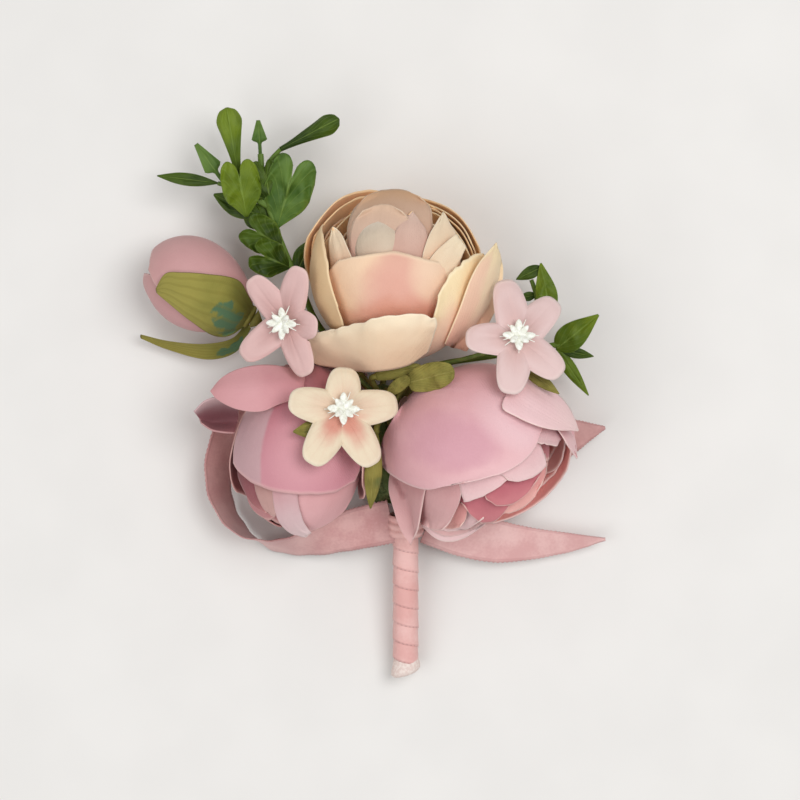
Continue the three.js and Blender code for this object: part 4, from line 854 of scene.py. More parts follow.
def sepal_paint(spot, u, v):
    cloud = spot.noise(200, 4)
    colour = (v + (cloud - 0.5) * 0.5).ease(0.1, 0.7).blend(dye(120, 122, 44), dye(164, 154, 72))
    far = ((u - 0.34) / 0.3) ** 2 + ((v - 0.26) / 0.16) ** 2
    blotch = (far + (spot.noise(420, 4) - 0.5) * 3.2).ease(1.1, 0.6)
    colour = blotch.blend(colour, dye(76, 116, 84))
    folds = ((u - 0.5) * 34 + spot.noise(150) * 3).wave()
    colour = (folds.ease(0.2, 1.0) * 0.3).blend(colour, dye(120, 112, 36))
    rim = u.least(1 - u).least(1 - v).ease(0.025, 0.0) * 0.8
    colour = rim.blend(colour, dye(104, 90, 44))
    weave = (u * 300).wave() * (v * 300).wave()
    colour = (weave.ease(-0.2, 1.0) * 0.16).blend(colour, dye(196, 188, 112))
    return {"Base Color": colour, "Normal": (folds * 0.5 + weave * 0.35).bump(0.6, 0.0005)}


sepal_cloth = finish("printed sepal cloth", sepal_paint, Roughness=0.75)
sepals = new_form()
wide_sepal = dict(left=[(11, -9), (6.8, -11.4), (3.4, -11.2), (-0.9, -8.4), (-5.1, -5), (-8.5, -1.9)],
                  right=[(13, -5), (11.8, -2), (9.7, 1.3), (2.5, 2.6), (-3, 2.8), (-6.6, 2.7), (-8.7, -0.4)],
                  layers=(-0.6, -1.3), round=0.3)
low_sepal = [
    [(-31.2, 29.5, 10), (-34.5, 25.6, 8.2), (-41, 24.2, 6.5), (-50, 24.9, 5.2), (-56.3, 26.4, 5.5)],
    [(-30.8, 28.6, 8.8), (-34.2, 24, 6.6), (-40.5, 22.4, 5.2), (-50, 23.9, 4.2), (-56.5, 25.9, 5)],
    [(-30.4, 27.6, 8.6), (-33.8, 22.4, 6.8), (-40, 20.5, 5.4), (-50, 22.8, 4.4), (-56.3, 25.4, 5)],
]
for surface in (draped_surface(bud, wide_sepal), row_surface(low_sepal)):
    sepal = new_form()
    add_sheet(sepal, surface, *SEPAL_GRID)
    bmesh.ops.solidify(sepal, geom=sepal.faces[:], thickness=SEPAL_CLOTH * MM)
    pour(sepals, sepal, 1)
turn_profile(sepals, heart_profile(bud), flower_place(bud), 2)
add_calyx(sepals, bud, [(-18, 26, 8.5), (-9, 19.5, 9)])
settle("bud_sepals", sepals, [olive, sepal_cloth, dusky_lining], "bud_calyx")

# Small blossoms
# One die-cut piece of thin cloth each, with five rounded petals pressed into a shallow dome, a crease down
# every petal and, on the cream one, a coral stain in the middle.
BLOSSOM_CLOTH = 0.35
BLOSSOM_HOLE = 0.9
BLOSSOM_ROUNDING = 3.2
BLOSSOM_DOME = 0.7
BLOSSOM_DROOP = 0.5
BLOSSOM_CREASE = 0.14
BLOSSOM_DRIFT = 0.3
BLOSSOM_WIRE = 0.5
BLOSSOM_GRID = (200, 18)


def blossom_place(blossom):
    nod, sway = (math.radians(blossom[key]) for key in ("nod", "sway"))
    tilt = Matrix.Rotation(nod, 4, "X") @ Matrix.Rotation(sway, 4, "Y")
    return Matrix.Translation(placed(blossom["centre"])) @ Matrix.Scale(MM, 4) @ tilt


def blossom_surface(blossom):
    place = blossom_place(blossom)
    angles, lengths = blossom["angles"], blossom["lengths"]
    count = len(angles)
    gaps = [(angles[(k + 1) % count] - angles[k]) % 360 for k in range(count)]

    def surface(u, v):
        degrees = angles[0] + 180 * (u + 1)
        beyond = (degrees - angles[0]) % 360
        k = 0
        while beyond >= gaps[k]:
            beyond -= gaps[k]
            k = (k + 1) % count
        share = beyond / gaps[k]
        length = lengths[k] if share < 0.5 else lengths[(k + 1) % count]
        aside = math.radians(min(share, 1 - share) * gaps[k])
        shares = (math.cos(aside) / length, math.sin(aside) / blossom["half"])
        edge = sum(part**BLOSSOM_ROUNDING for part in shares) ** (-1 / BLOSSOM_ROUNDING)
        radius = BLOSSOM_HOLE + (edge - BLOSSOM_HOLE) * v
        beside = min(share, 1 - share) * 2
        turn = math.radians(degrees)
        dome = BLOSSOM_DOME * (1 - beside**2) * ease(radius, 2, 6) - BLOSSOM_DROOP * ease(v, 0.75, 1) ** 2
        crease = (1 - ease(beside, 0, 0.16)) * ease(radius, 2, 4) * (1 - ease(v, 0.6, 0.95))
        drift = noise.noise(Vector((radius * math.cos(turn) / 6, radius / 6, k)))
        height = blossom["cup"] * (radius / length) ** 2 + dome - BLOSSOM_CREASE * crease
        height += BLOSSOM_DRIFT * drift * v
        return place @ Vector((radius * math.cos(turn), radius * math.sin(turn), height))

    return surface


def blossom_cloth(name, petal, rim, middle, stain):
    def paint(spot, u, v):
        cloud = spot.noise(260, 3)
        out = v + (cloud - 0.5) * 0.35
        side = u.ease(0.5, 0.6) * u.ease(0.97, 0.9)
        colour = (out.ease(0.78, 0.25) * (stain + side * (1 - stain))).blend(dye(*petal), dye(*middle))
        colour = v.ease(0.9, 1.0).blend(colour, dye(*rim))
        ribs = (u * 260).wave()
        fibre = spot.noise(2600, 3)
        colour = (ribs.ease(0.4, 1.0) * 0.05 + fibre * 0.1).blend(colour, dye(*middle))
        height = ribs * 0.08 + fibre * 0.5 + cloud * 0.4
        return {"Base Color": colour, "Roughness": 0.6 + fibre * 0.25, "Normal": height.bump(0.35, 0.0003)}

    return finish(name, paint, Sheen_Weight=0.12, Sheen_Roughness=0.4)


# Stamens: a white moulded star of round lobes and fine threads on a small disc, whose green wire pins the
# blossom and runs down to the binding.
STAMEN_LOBES = 4
STAMEN_LENGTH = 3.9
STAMEN_SEAT = 0.5
STAMEN_TOP = 1.2
STAMEN_TILT = math.radians(18)
LOBE_WIDTH = 2
LOBE_THICKNESS = 0.9
UPPER_LOBE = 0.82
UPPER_WIDTH = 1.6
UPPER_TILT = 1.6 * STAMEN_TILT
UPPER_RISE = 0.3
THREADS = 9
THREAD_RADIUS = 0.28
THREAD_STRAY = 0.4
THREAD_UNEVEN = 0.7
THREAD_RISE = 0.4
THREAD_LIFT = 0.5


def stamen_paint(spot, u, v):
    grain = spot.noise(1500, 2)
    colour = grain.ease(0.3, 0.7).blend(dye(226, 226, 212), dye(246, 247, 240))
    return {"Base Color": colour, "Normal": grain.bump(0.3, 0.0002)}


stamen_white = finish("moulded white", stamen_paint, Roughness=0.45)


def wire_paint(spot, u, v):
    colour = spot.noise(400, 2).ease(0.3, 0.7).blend(dye(78, 100, 38), dye(110, 128, 60))
    return {"Base Color": colour, "Normal": spot.noise(2000, 2).bump(0.4, 0.0002)}


green_wire = finish("green wire", wire_paint, Roughness=0.6)


def add_lobe(form, place, length, width, turn, tilt, top):
    lobe = bmesh.new()
    bmesh.ops.create_icosphere(lobe, subdivisions=3, radius=0.5)
    for vert in lobe.verts:
        vert.co.y *= 1.1 - 0.3 * (vert.co.x + 0.5)
    bmesh.ops.scale(lobe, vec=(length, width, LOBE_THICKNESS), verts=lobe.verts)
    bmesh.ops.translate(lobe, vec=(length / 2, 0, 0), verts=lobe.verts)
    aim = Matrix.Rotation(turn, 4, "Z") @ Matrix.Rotation(-tilt, 4, "Y")
    bmesh.ops.transform(lobe, matrix=place @ Matrix.Translation((0, 0, top)) @ aim, verts=lobe.verts)
    pour(form, lobe)


def add_blossom(blossom, cloth):
    name, place = blossom["name"], blossom_place(blossom)
    form = new_form()
    add_sheet(form, blossom_surface(blossom), *BLOSSOM_GRID)
    bmesh.ops.remove_doubles(form, verts=form.verts, dist=MERGE)
    bmesh.ops.reverse_faces(form, faces=form.faces)
    settle(name + "_cloth", form, [cloth], name + "_petals", cloth=BLOSSOM_CLOTH)
    form = new_form()
    disc = [(0, STAMEN_SEAT), (1.6, STAMEN_SEAT), (1.7, 0.8), (1.4, 1.15), (0, STAMEN_TOP)]
    turn_profile(form, lathe_line(disc), place, sides=24)
    for i in range(STAMEN_LOBES):
        turn, half_turn = (2 * math.pi * (i + on) / STAMEN_LOBES for on in (0, 0.5))
        add_lobe(form, place, STAMEN_LENGTH, LOBE_WIDTH, turn, STAMEN_TILT, STAMEN_TOP)
        upper_length, upper_top = UPPER_LOBE * STAMEN_LENGTH, STAMEN_TOP + UPPER_RISE
        add_lobe(form, place, upper_length, UPPER_WIDTH, half_turn, UPPER_TILT, upper_top)
    for i in range(THREADS):
        turn = 2 * math.pi * i / THREADS + THREAD_STRAY * math.sin(5 * i)
        far = STAMEN_LENGTH + THREAD_UNEVEN * math.sin(3 * i + 1)
        height = STAMEN_TOP + THREAD_RISE + THREAD_LIFT * math.cos(4 * i)
        tip = Vector((far * math.cos(turn), far * math.sin(turn), height))
        thread = [Vector((0, 0, STAMEN_TOP)), tip / 2 + Vector((0, 0, 1)), tip]
        add_wire(form, [measured(place @ point) for point in thread], THREAD_RADIUS, 0, (1, 0.25))
    leaving = [measured(place @ Vector((0, 0, height))) for height in (0.8, -2)]
    add_wire(form, [*leaving, *map(Vector, blossom["route"]), BINDING_CENTRE], BLOSSOM_WIRE, 1)
    settle(name + "_star", form, [stamen_white, green_wire], name + "_stamen")


cream_cloth = blossom_cloth("cream blossom cloth", (226, 211, 184), (234, 222, 198), (210, 146, 128), 0.25)
pink_cloth = blossom_cloth("pale pink blossom cloth", (218, 190, 187), (226, 204, 199), (210, 176, 172), 1)
rosy_cloth = blossom_cloth("rosy blossom cloth", (213, 177, 173), (221, 190, 184), (198, 158, 154), 1)
add_blossom(
    dict(name="cream_blossom", centre=(-8.7, 8.7, 33.5), nod=-12, sway=12, cup=-1, half=4.1,
         angles=[10, 85, 170, 240, 302], lengths=[13, 10, 12, 14, 14], route=[(-3.4, 10, 22)]),
    cream_cloth,
)
add_blossom(
    dict(name="right_blossom", centre=(30.5, 24.7, 35.1), nod=-20, sway=4, cup=-1, half=3.9,
         angles=[48, 101, 180, 261, 320], lengths=[13, 14.6, 11.6, 13, 12.5],
         route=[(20, 20.7, 25.6), (9.9, 18, 20.5), (3.5, 14.2, 17)]),
    pink_cloth,
)
add_blossom(
    dict(name="left_blossom", centre=(-21.6, 28.6, 26.8), nod=10, sway=-20, cup=1.5, half=3.5,
         angles=[71, 127, 220, 297, 356], lengths=[13.6, 12.5, 12.8, 13, 8.5],
         route=[(-14, 22, 19.5), (-4, 15, 16)]),
    rosy_cloth,
)

# Sprigs
# Soft green plastic, moulded with stems, pods, heart-shaped leaves and small arrow tips in one piece; a
# midrib and side veins stand out on each blade.
LEAF_WALL = 0.4
LEAF_NECK = 0.08
LEAF_TWIST = 0.15
LEAF_GRID = (24, 26)
SPRIG_STEM = 0.7


def leaf_paint(dark, light):
    def paint(spot, u, v):
        cloud = spot.noise(170, 3)
        colour = (cloud + (v - 0.5) * 0.3).ease(0.3, 0.75).blend(dye(*dark), dye(*light))
        rib = (u - 0.5).size().ease(0.05, 0.0)
        veins = ((u - 0.5).size() * 34 - v * 26).wave().ease(0.75, 1.0)
        colour = (rib * 0.4 + veins * 0.14).blend(colour, dye(134, 158, 74))
        rim = u.least(1 - u).ease(0.05, 0.0) * 0.4
        colour = rim.blend(colour, dye(124, 148, 62))
        height = rib * 0.8 + veins * 0.4 + spot.noise(1400, 3) * 0.4
        return {"Base Color": colour, "Roughness": 0.42 + cloud * 0.2, "Normal": height.bump(0.5, 0.0004)}

    return paint


leaf_tones = [
    finish(name, leaf_paint(dark, light), Specular_IOR_Level=0.25)
    for name, dark, light in (
        ("bright leaf plastic", (72, 94, 8), (106, 126, 26)),
        ("dark leaf plastic", (36, 56, 4), (68, 90, 16)),
        ("soft leaf plastic", (56, 86, 24), (92, 120, 50)),
    )
]


def leaf_outline(shape, fullness, v):
    """How wide a blade is at a share of its length, from 0 to 1."""
    if shape == "heart":
        return math.sin(math.pi / 2 * min(1, v / 0.7)) ** 1.15
    if shape == "paddle":
        closing = max(0, (v - 0.7) / 0.3)
        return min(1, 0.16 + 1.15 * v**1.4) * math.sqrt(max(0, 1 - closing**2.2))
    if shape == "oval":
        return (4 * v * (1 - v)) ** 0.45
    if shape == "dart":
        return 0.16 + 0.84 * ease(v, 0.4, 0.5) * (1 - v) / 0.5 if v > 0.4 else 0.16
    return math.sin(math.pi * v**fullness)


def leaf_surface(foot, tip, leaf):
    along = tip - foot
    side = along.cross(Vector((0, 0, 1))).normalized()
    upward = side.cross(along).normalized()
    shape = leaf.get("shape", "blade")

    def surface(u, v):
        swell = leaf_outline(shape, leaf.get("fullness", 1), v)
        half = leaf["width"] / 2 * (LEAF_NECK + (1 - LEAF_NECK) * swell)
        share = v
        if shape == "heart":
            share = v * (0.7 + 0.3 * math.sqrt(max(0, 1 - (2 * abs(u) - 1) ** 2)))
        bow = leaf["arch"] * swell * (1 - u * u) - leaf.get("fold", 0.5) * swell * (1 - abs(u)) ** 3
        twist = LEAF_TWIST * leaf["width"] * noise.noise(3 * v * Vector((1, u, 1)) + foot) * swell
        return placed(foot + along * share + side * (u * half) + upward * (bow + twist))

    return surface


def add_leaf(form, foot, tip, leaf, material=0):
    blade = new_form()
    add_sheet(blade, leaf_surface(foot, tip, leaf), *LEAF_GRID)
    bmesh.ops.solidify(blade, geom=blade.faces[:], thickness=LEAF_WALL * MM)
    pour(form, blade, material)


def add_sprig(node, origin, route, stems, leaves):
    form = new_form()
    origin = Vector(origin)
    trunk, *branches = [[origin + Vector(point) for point in stem] for stem in stems]
    add_wire(form, [BINDING_CENTRE, *map(Vector, route), *trunk], SPRIG_STEM, 2)
    for branch in branches:
        add_wire(form, branch, SPRIG_STEM, 2, (1, 0.7))
    for leaf in leaves:
        foot, tip = (origin + Vector(leaf[key]) for key in ("foot", "tip"))
        add_leaf(form, foot, tip, leaf, leaf.get("tone", 0))
    settle(node + "_moulding", form, leaf_tones, node)


add_sprig(
    "left_sprig", (-18.4, 36.62, 12), [(-7, 19, 6), (-15, 29, 8.5)],
    [
        [(0, 0, 0), (-4, 9, 1), (-7, 17, 2), (-9, 26, 3), (-9.4, 31, 3)],
        [(-7.6, 19, 2.2), (-12, 23, 2.5), (-14.5, 26.2, 3)],
        [(-8.9, 25.5, 3), (-7, 29.5, 3.5), (-4.8, 32, 4)],
        [(-7.6, 19, 2.2), (-15, 23, 2), (-19.3, 24.4, 2)],
    ],
    [
        dict(foot=(-14.5, 26.2, 3), tip=(-17, 41.4, 6), width=6.2, arch=1.4, shape="paddle"),
        dict(foot=(-9.4, 30, 3), tip=(-9.9, 38.7, 4), width=3.6, arch=0.5, tone=2, shape="dart"),
        dict(foot=(-4.8, 32, 4), tip=(8.8, 38.7, 7), width=5, arch=1.6, tone=1, shape="paddle"),
        dict(foot=(-16.6, 22.8, 2), tip=(-24.2, 33.2, 4), width=4.4, arch=0.6, tone=2, shape="dart"),
        dict(foot=(-19.1, 24.4, 2), tip=(-33.4, 26.2, 1), width=3, arch=0.5, tone=1),
        dict(foot=(-12.6, 16.5, 3), tip=(-14.6, 29.3, 7), width=9, arch=1, shape="heart"),
        dict(foot=(-6.8, 18.5, 2.4), tip=(-8.8, 29.6, 5), width=7, arch=1, tone=1, shape="heart"),
        dict(foot=(-5.6, 14.2, 2), tip=(-0.6, 30.2, 7), width=11, arch=1.2, tone=2, shape="heart"),
        dict(foot=(-9, 16.5, 2), tip=(-20.4, 22, 0), width=5.4, arch=0.6, tone=1),
        dict(foot=(-4.2, 9.5, 1.6), tip=(-13, 14.8, 5), width=8.5, arch=1, tone=1, shape="heart"),
        dict(foot=(-2.6, 5, 1), tip=(-11.4, 8.6, 6), width=8.5, arch=1, tone=1, shape="heart"),
        dict(foot=(-7.5, 14, 1), tip=(-13.5, 19.5, 1), width=6, arch=0.6, tone=1),
        dict(foot=(-1.6, 3, 0.5), tip=(2.5, 11.5, 2), width=5, arch=0.6, tone=1),
    ],
)
add_sprig(
    "right_sprig", (36.3, 23, 12), [(5, 16.8, 6.8), (14, 19.5, 7), (24, 21, 9)],
    [
        [(-2, -0.4, -0.5), (0, 0, 0), (5, 1, 2)],
        [(-2, -0.4, -0.5), (0, 9, 2), (1.7, 11.6, 3)],
        [(-0.2, 8, 1.7), (-0.6, 12, 2.5), (-1.8, 15.7, 3)],
    ],
    [
        dict(foot=(0.6, 18.6, 5), tip=(-5.4, 15.7, 5), width=3, fullness=0.8, arch=0.5, tone=1),
        dict(foot=(2.4, 8, 4.5), tip=(0.2, 19.4, 6), width=5, fullness=0.66, arch=0.6),
        dict(foot=(-0.4, 12.4, 2.6), tip=(-4.6, 11.4, 3), width=2.2, arch=0.4, tone=1),
        dict(foot=(4, -0.2, 1.9), tip=(13.5, 7.6, 5), width=6.4, fullness=0.62, arch=0.8),
        dict(foot=(4, -0.2, 1.9), tip=(12.6, -1.9, 2), width=2.6, arch=0.4, tone=1),
        dict(foot=(4, -0.2, 1.9), tip=(11.5, -10.9, 1), width=3.2, fullness=0.7, arch=0.6),
    ],
)

# Olive leaves
# Small printed cloth leaves on wire, tucked into the gaps between the roses and blossoms.
WIRE_IN_LEAF = 0.08
for name, foot, tip, entry, width, shape, node in (
    ("round_leaf", (6, 14.9, 26.4), (16.4, 17.6, 34.2), (-0.6, 2, 0), 6.4, "oval", "leaf_middle"),
    ("low_leaf", (-1, 5, 21), (-2.4, -13.5, 25), (0.8, -2.6, 0), 4, "blade", "leaf_low"),
    ("left_leaf", (-5.6, 5.6, 28.5), (-19.5, 4, 34.5), (-1.6, -1.6, 0), 5, "blade", "leaf_left"),
    ("upper_leaf", (-2, 16.2, 23), (9.2, 18.6, 25.6), (-0.6, 2, 0), 3, "oval", None),
    ("small_leaf", (1.6, 12.6, 25), (6.4, 16.2, 28), (0, 1, 0), 3, "oval", None),
    ("tucked_leaf", (29, 20.6, 30.6), (39.8, 12.4, 33), None, 3, "blade", None),
):
    foot, tip = Vector(foot), Vector(tip)
    form = new_form()
    if entry:
        add_wire(form, [foot.lerp(tip, WIRE_IN_LEAF), foot, BINDING_CENTRE + Vector(entry)], WIRE_RADIUS)
    add_leaf(form, foot, tip, dict(width=width, fullness=1.2, arch=0.6, fold=0.3, shape=shape))
    settle(name + "_cloth", form, [olive], node)

# Ribbon round the stem
# Dusty pink satin, wound down the bundle with each turn lapping over the next, so that slanting edges show;
# its end is cut off flush with the wires.
WRAP_START = 1.5
WRAP_WIDTH = 5
WRAP_CLOTH = 0.3
WRAP_RADIUS = 2.8
WRAP_LAP = 0.12
WRAP_DRIFT = 0.06
WRAP_OVERHANG = 0.6
WRAP_GRID = (10, 420)
SATIN_THREADS = 46


def satin_paint(base, shine, deep):
    def paint(spot, u, v):
        cloud = spot.noise(140, 3)
        threads = (u * (SATIN_THREADS * 2 * math.pi)).wave()
        slub = spot.noise(1700, 2)
        colour = (cloud + (slub - 0.5) * 0.3).ease(0.3, 0.7).blend(dye(*base), dye(*shine))
        near = u.least(1 - u)
        stitch = (v * 900).wave().ease(-0.3, 0.6) * near.ease(0.07, 0.03)
        colour = (stitch * 0.5).blend(colour, dye(*deep))
        line = near.ease(0.1, 0.07) * near.ease(0.04, 0.07)
        colour = (line * 0.35).blend(colour, dye(*deep))
        height = threads * 0.25 + slub * 0.5 + stitch * 0.9
        return {"Base Color": colour, "Roughness": 0.34 + slub * 0.22, "Normal": height.bump(0.35, 0.0003)}

    return paint


# One satin in three tones: the loop and short tail take a darker copy with painted shade, and the stem wrap
# and knot take a lighter copy with painted light.
satin, satin_painted_shade, satin_painted_light = (
    finish(name, satin_paint(*dyes), Sheen_Weight=0.2)
    for name, *dyes in (
        ("dusty pink satin", (212, 162, 160), (228, 188, 184), (180, 122, 122)),
        ("shaded satin", (198, 144, 142), (218, 172, 168), (164, 108, 108)),
        ("stem satin with painted light", (228, 172, 166), (238, 192, 186), (190, 128, 126)),
    )
)

stem_turns = (STEM_LENGTH - WRAP_START - WRAP_WIDTH + WRAP_OVERHANG) / WRAP_PITCH


def stem_point(radius, turn, down):
    return placed(
        STEM_TOP
        + STEM_DIRECTION * down
        + stem_side * (radius * math.cos(turn))
        - stem_front * (radius * math.sin(turn))
    )


def wrap_surface(u, v):
    turn = 2 * math.pi * stem_turns * v
    down = WRAP_START + WRAP_WIDTH / 2 + WRAP_PITCH * stem_turns * v + u * WRAP_WIDTH / 2
    drift = WRAP_DRIFT * noise.noise(Vector((2 * math.cos(turn), 2 * math.sin(turn), down / 3)))
    return stem_point(WRAP_RADIUS + WRAP_LAP * u + drift, turn, down)


# The wrap's lighter satin is painted light.
wrap = new_form()
add_sheet(wrap, wrap_surface, *WRAP_GRID)
settle("stem_ribbon", wrap, [satin_painted_light], "stem_wrap", cloth=WRAP_CLOTH)

# Knot
# The bow is tied on with one turn of the same ribbon, gathered into soft folds round the top of the stem.
KNOT_DOWN = 1.5
KNOT_LENGTH = 5
KNOT_RADIUS = 3.7
KNOT_FOLDS = 3
KNOT_FOLD_HEIGHT = 0.16
KNOT_CROWN = 0.25
KNOT_CLOTH = 0.4
KNOT_GRID = (64, 24)


def knot_surface(u, v):
    turn = math.pi * u
    fold = KNOT_FOLD_HEIGHT * math.sin(2 * math.pi * KNOT_FOLDS * v + 0.8 * math.sin(turn))
    crown = KNOT_CROWN * math.sin(math.pi * v)
    return stem_point(KNOT_RADIUS + fold + crown, turn, KNOT_DOWN + KNOT_LENGTH * v)


knot = new_form()
add_sheet(knot, knot_surface, *KNOT_GRID)
bmesh.ops.remove_doubles(knot, verts=knot.verts, dist=MERGE)
settle("bow_knot", knot, [satin_painted_light], "ribbon_knot", cloth=KNOT_CLOTH)

# Bow
# Satin ribbon 10 mm wide with stitched edges: one loop swings out to the left and back under the left rose,
# and two tails run out to the right, each cut to a slant.
RIBBON_WIDTH = 10
RIBBON_CLOTH = 0.3
RIBBON_TIP = 0.05
RIBBON_STEPS = 40
RIBBON_FACES = 5
RIBBON_ACROSS = 18
RIBBON_DRIFT = 0.1
RIPPLE_HEIGHT = 0.12
RIPPLE_RATE = 9
TANGENT_STEP = 0.002
PICOT_PITCH = 0.9
PICOT_DEPTH = 0.1
SELVEDGE = 0.06
loop_stations = [
    ((2.4, -17, 10.8), (0.05, 1, 0)),
    ((-7.4, -19.3, 9), (0.1, 0.95, 0.35)),
    ((-17.2, -22.4, 7.5), (0, 0.6, 0.8)),
    ((-26.1, -22.8, 6.5), (0, 0.25, 0.97)),
    ((-33.6, -18.6, 6), (-0.25, -0.1, 0.96)),
    ((-38, -10, 6), (-0.5, 0, 0.86)),
    ((-37, 1, 5.5), (-0.6, 0.1, 0.8)),
    ((-31, 9.5, 4.8), (-0.45, 0.5, 0.74)),
    ((-22, 14.5, 2.5), (-0.15, 0.93, 0.33)),
    ((-12, 14.6, 2.6), (0.1, 0.95, 0.3)),
    ((-4.6, 12.4, 4.6), (0.3, 0.93, 0.15)),
]
long_tail_stations = [
    ((10.8, -17.6, 8.5), (0.2, 0.9, 0.3)),
    ((20.6, -21, 6), (0.1, 0.97, 0.2)),
    ((32.3, -22.5, 4.2), (0, 1, 0.1)),
    ((44, -22.3, 4), (0, 1, 0.1)),
    ((52.3, -21.5, 5), (0, 1, 0.1)),
]
short_tail_stations = [
    ((9.6, -16.5, 5.2), (0.1, 1, 0)),
    ((18.8, -15, 1.4), (-0.2, 1, -0.03)),
    ((27.8, -10, 0.6), (-0.5, 0.85, -0.02)),
    ((35, -3.4, 1), (-0.6, 0.77, 0)),
    ((40, 1.4, 2.6), (-0.45, 0.85, 0.1)),
    ((46, 3.2, 4.2), (-0.2, 0.95, 0.2)),
    ((52.2, 4.6, 5.8), (-0.1, 0.97, 0.2)),
]


def add_ribbon(name, node, stations, cut, cloth):
    line = smooth_line([Vector(at) for at, way in stations])
    ways = smooth_line([Vector(way) for at, way in stations])
    steps = RIBBON_STEPS * (len(stations) - 1)
    marks = [line(i / steps) for i in range(steps + 1)]
    length = sum((b - a).length for a, b in zip(marks, marks[1:]))

    def narrowing(v):
        return min(1, RIBBON_TIP + (1 - v) * length / cut) if cut else 1

    def surface(u, v):
        tangent = (line(min(1, v + TANGENT_STEP)) - line(max(0, v - TANGENT_STEP))).normalized()
        way = ways(v)
        across = (way - tangent * way.dot(tangent)).normalized()
        face = tangent.cross(across)
        selvedge = SELVEDGE * ease(abs(u), 0.9, 0.97)
        ripple = RIPPLE_HEIGHT * math.sin(RIPPLE_RATE * v * len(stations)) * u * u
        ripple += RIBBON_DRIFT * noise.noise(line(v) / 4)
        picot = PICOT_DEPTH * math.sin(2 * math.pi * v * length / PICOT_PITCH) * ease(abs(u), 0.88, 1)
        half = narrowing(v) * RIBBON_WIDTH / 2 + picot
        return placed(line(v) + across * (u * half) + face * (selvedge + ripple))

    form = new_form()
    add_sheet(form, surface, RIBBON_ACROSS, round(RIBBON_FACES * length))
    cut_map = form.loops.layers.uv["Cut"]
    for face in form.faces:
        for loop in face.loops:
            loop[cut_map].uv.y *= length / RIBBON_WIDTH
    piece = settle(name, form, [cloth], node, cloth=RIBBON_CLOTH)
    area = sum(narrowing((i + 0.5) / steps) for i in range(steps)) / steps * length * RIBBON_WIDTH
    flat = (RIBBON_WIDTH * MM, length * MM)
    area = min(area * MM * MM, flat[0] * flat[1])


# The loop and the short tail use the darker satin, which is painted shade.
add_ribbon("bow_loop", "ribbon_loop", loop_stations, 0, satin_painted_shade)
add_ribbon("bow_long_tail", "ribbon_long_tail", long_tail_stations, 27, satin)
add_ribbon("bow_short_tail", "ribbon_short_tail", short_tail_stations, 13, satin_painted_shade)

# Pad
# A strip of green felt glued under the bundle, which the bar is stuck to.
PIN_MIDDLE = Vector((PIN_LINE, 0, 6.45))
BAR_LENGTH = 24
BAR_WIDTH = 5
BAR_THICKNESS = 0.8
PAD_BORDER = 1
PAD_GAP = 0.15
PAD_THICKNESS = 1
PAD_CORNER = 2.3
PAD_EDGE = 0.25
CORNER_STEPS = 8


def felt_paint(spot, u, v):
    wool = spot.noise(900, 5, 1.5)
    colour = wool.ease(0.3, 0.7).blend(dye(70, 86, 42), dye(118, 130, 78))
    return {"Base Color": colour, "Normal": (wool + spot.noise(3000, 3) * 0.5).bump(0.8, 0.0005)}


felt = finish("green felt", felt_paint, Roughness=0.95, Sheen_Weight=0.3)


def block(size, middle):
    """A box in millimetres about the pin's middle."""
    part = bmesh.new()
    bmesh.ops.create_cube(part, size=1)
    bmesh.ops.scale(part, vec=size, verts=part.verts)
    bmesh.ops.translate(part, vec=middle, verts=part.verts)
    return part


def round_off(part, edges, offset, segments=2):
    bmesh.ops.bevel(part, geom=edges, offset=offset, offset_type="OFFSET", segments=segments, profile=0.5,
                    affect="EDGES", material=-1)


def fix_on(form, part):
    """Adds a part drawn in millimetres about the pin's middle to a form."""
    place = Matrix.Translation(placed(PIN_MIDDLE)) @ Matrix.Scale(MM, 4)
    bmesh.ops.transform(part, matrix=place, verts=part.verts)
    pour(form, part)


def add_plate(form, width, length, corner, low, high, edge):
    """A plate with round corners and eased edges, flat across Z, about the pin's middle."""
    slab = block((width, length, high - low), (0, 0, (low + high) / 2))

    def upright(e):
        return abs(e.verts[0].co.z - e.verts[1].co.z) > MERGE

    round_off(slab, [e for e in slab.edges if upright(e)], corner, CORNER_STEPS)
    round_off(slab, [e for e in slab.edges if not upright(e) and e.calc_face_angle(0) > 1], edge)
    fix_on(form, slab)


pad = new_form()
pad_low = BAR_THICKNESS + PAD_GAP
pad_sides = (BAR_WIDTH + 2 * PAD_BORDER, BAR_LENGTH + 2 * PAD_BORDER)
add_plate(pad, *pad_sides, PAD_CORNER, pad_low, pad_low + PAD_THICKNESS, PAD_EDGE)
felt_pad = settle("felt_pad", pad, [felt], "pin_pad")

# Bar
# Pressed nickel-plated steel: a flat bar with two hinge ears folded down at one end, and at the other a
# post with a slotted catch tube.
NEEDLE_RADIUS = 0.35
CLOTH_GAP = 4.2
NEEDLE_HEIGHT = -(CLOTH_GAP + NEEDLE_RADIUS)
BAR_EDGE = 0.15
POST_TOP = 0.4
POST_EDGE = 0.12
EAR_RADIUS = 1.5
EAR_THICKNESS = 0.6
EAR_INSIDE = 0.7
EAR_ROOT = 0.2
EAR_STEPS = 24
HINGE_ALONG = BAR_LENGTH / 2 - EAR_RADIUS
CATCH_END = -BAR_LENGTH / 2
CATCH_LENGTH = 4
CATCH_BORE = 0.7
CATCH_WALL = 0.35
CATCH_MOUTH = math.radians(48)
TUBE_STEPS = 36
POST_LENGTH = 1.2
RIVET_RADIUS = 0.5
RIVET_BORE = 0.62


def steel_paint(spot, u, v):
    drawn = spot.stretched((900, 90, 900)).noise(1, 3)
    tarnish = spot.noise(300, 3).ease(0.45, 0.75)
    colour = (tarnish * 0.5).blend(dye(206, 207, 208), dye(168, 164, 156))
    roughness = 0.18 + drawn * 0.16 + tarnish * 0.12
    return {"Base Color": colour, "Roughness": roughness, "Normal": drawn.bump(0.15, 0.0001)}


steel = finish("nickel-plated steel", steel_paint, Metallic=1.0)


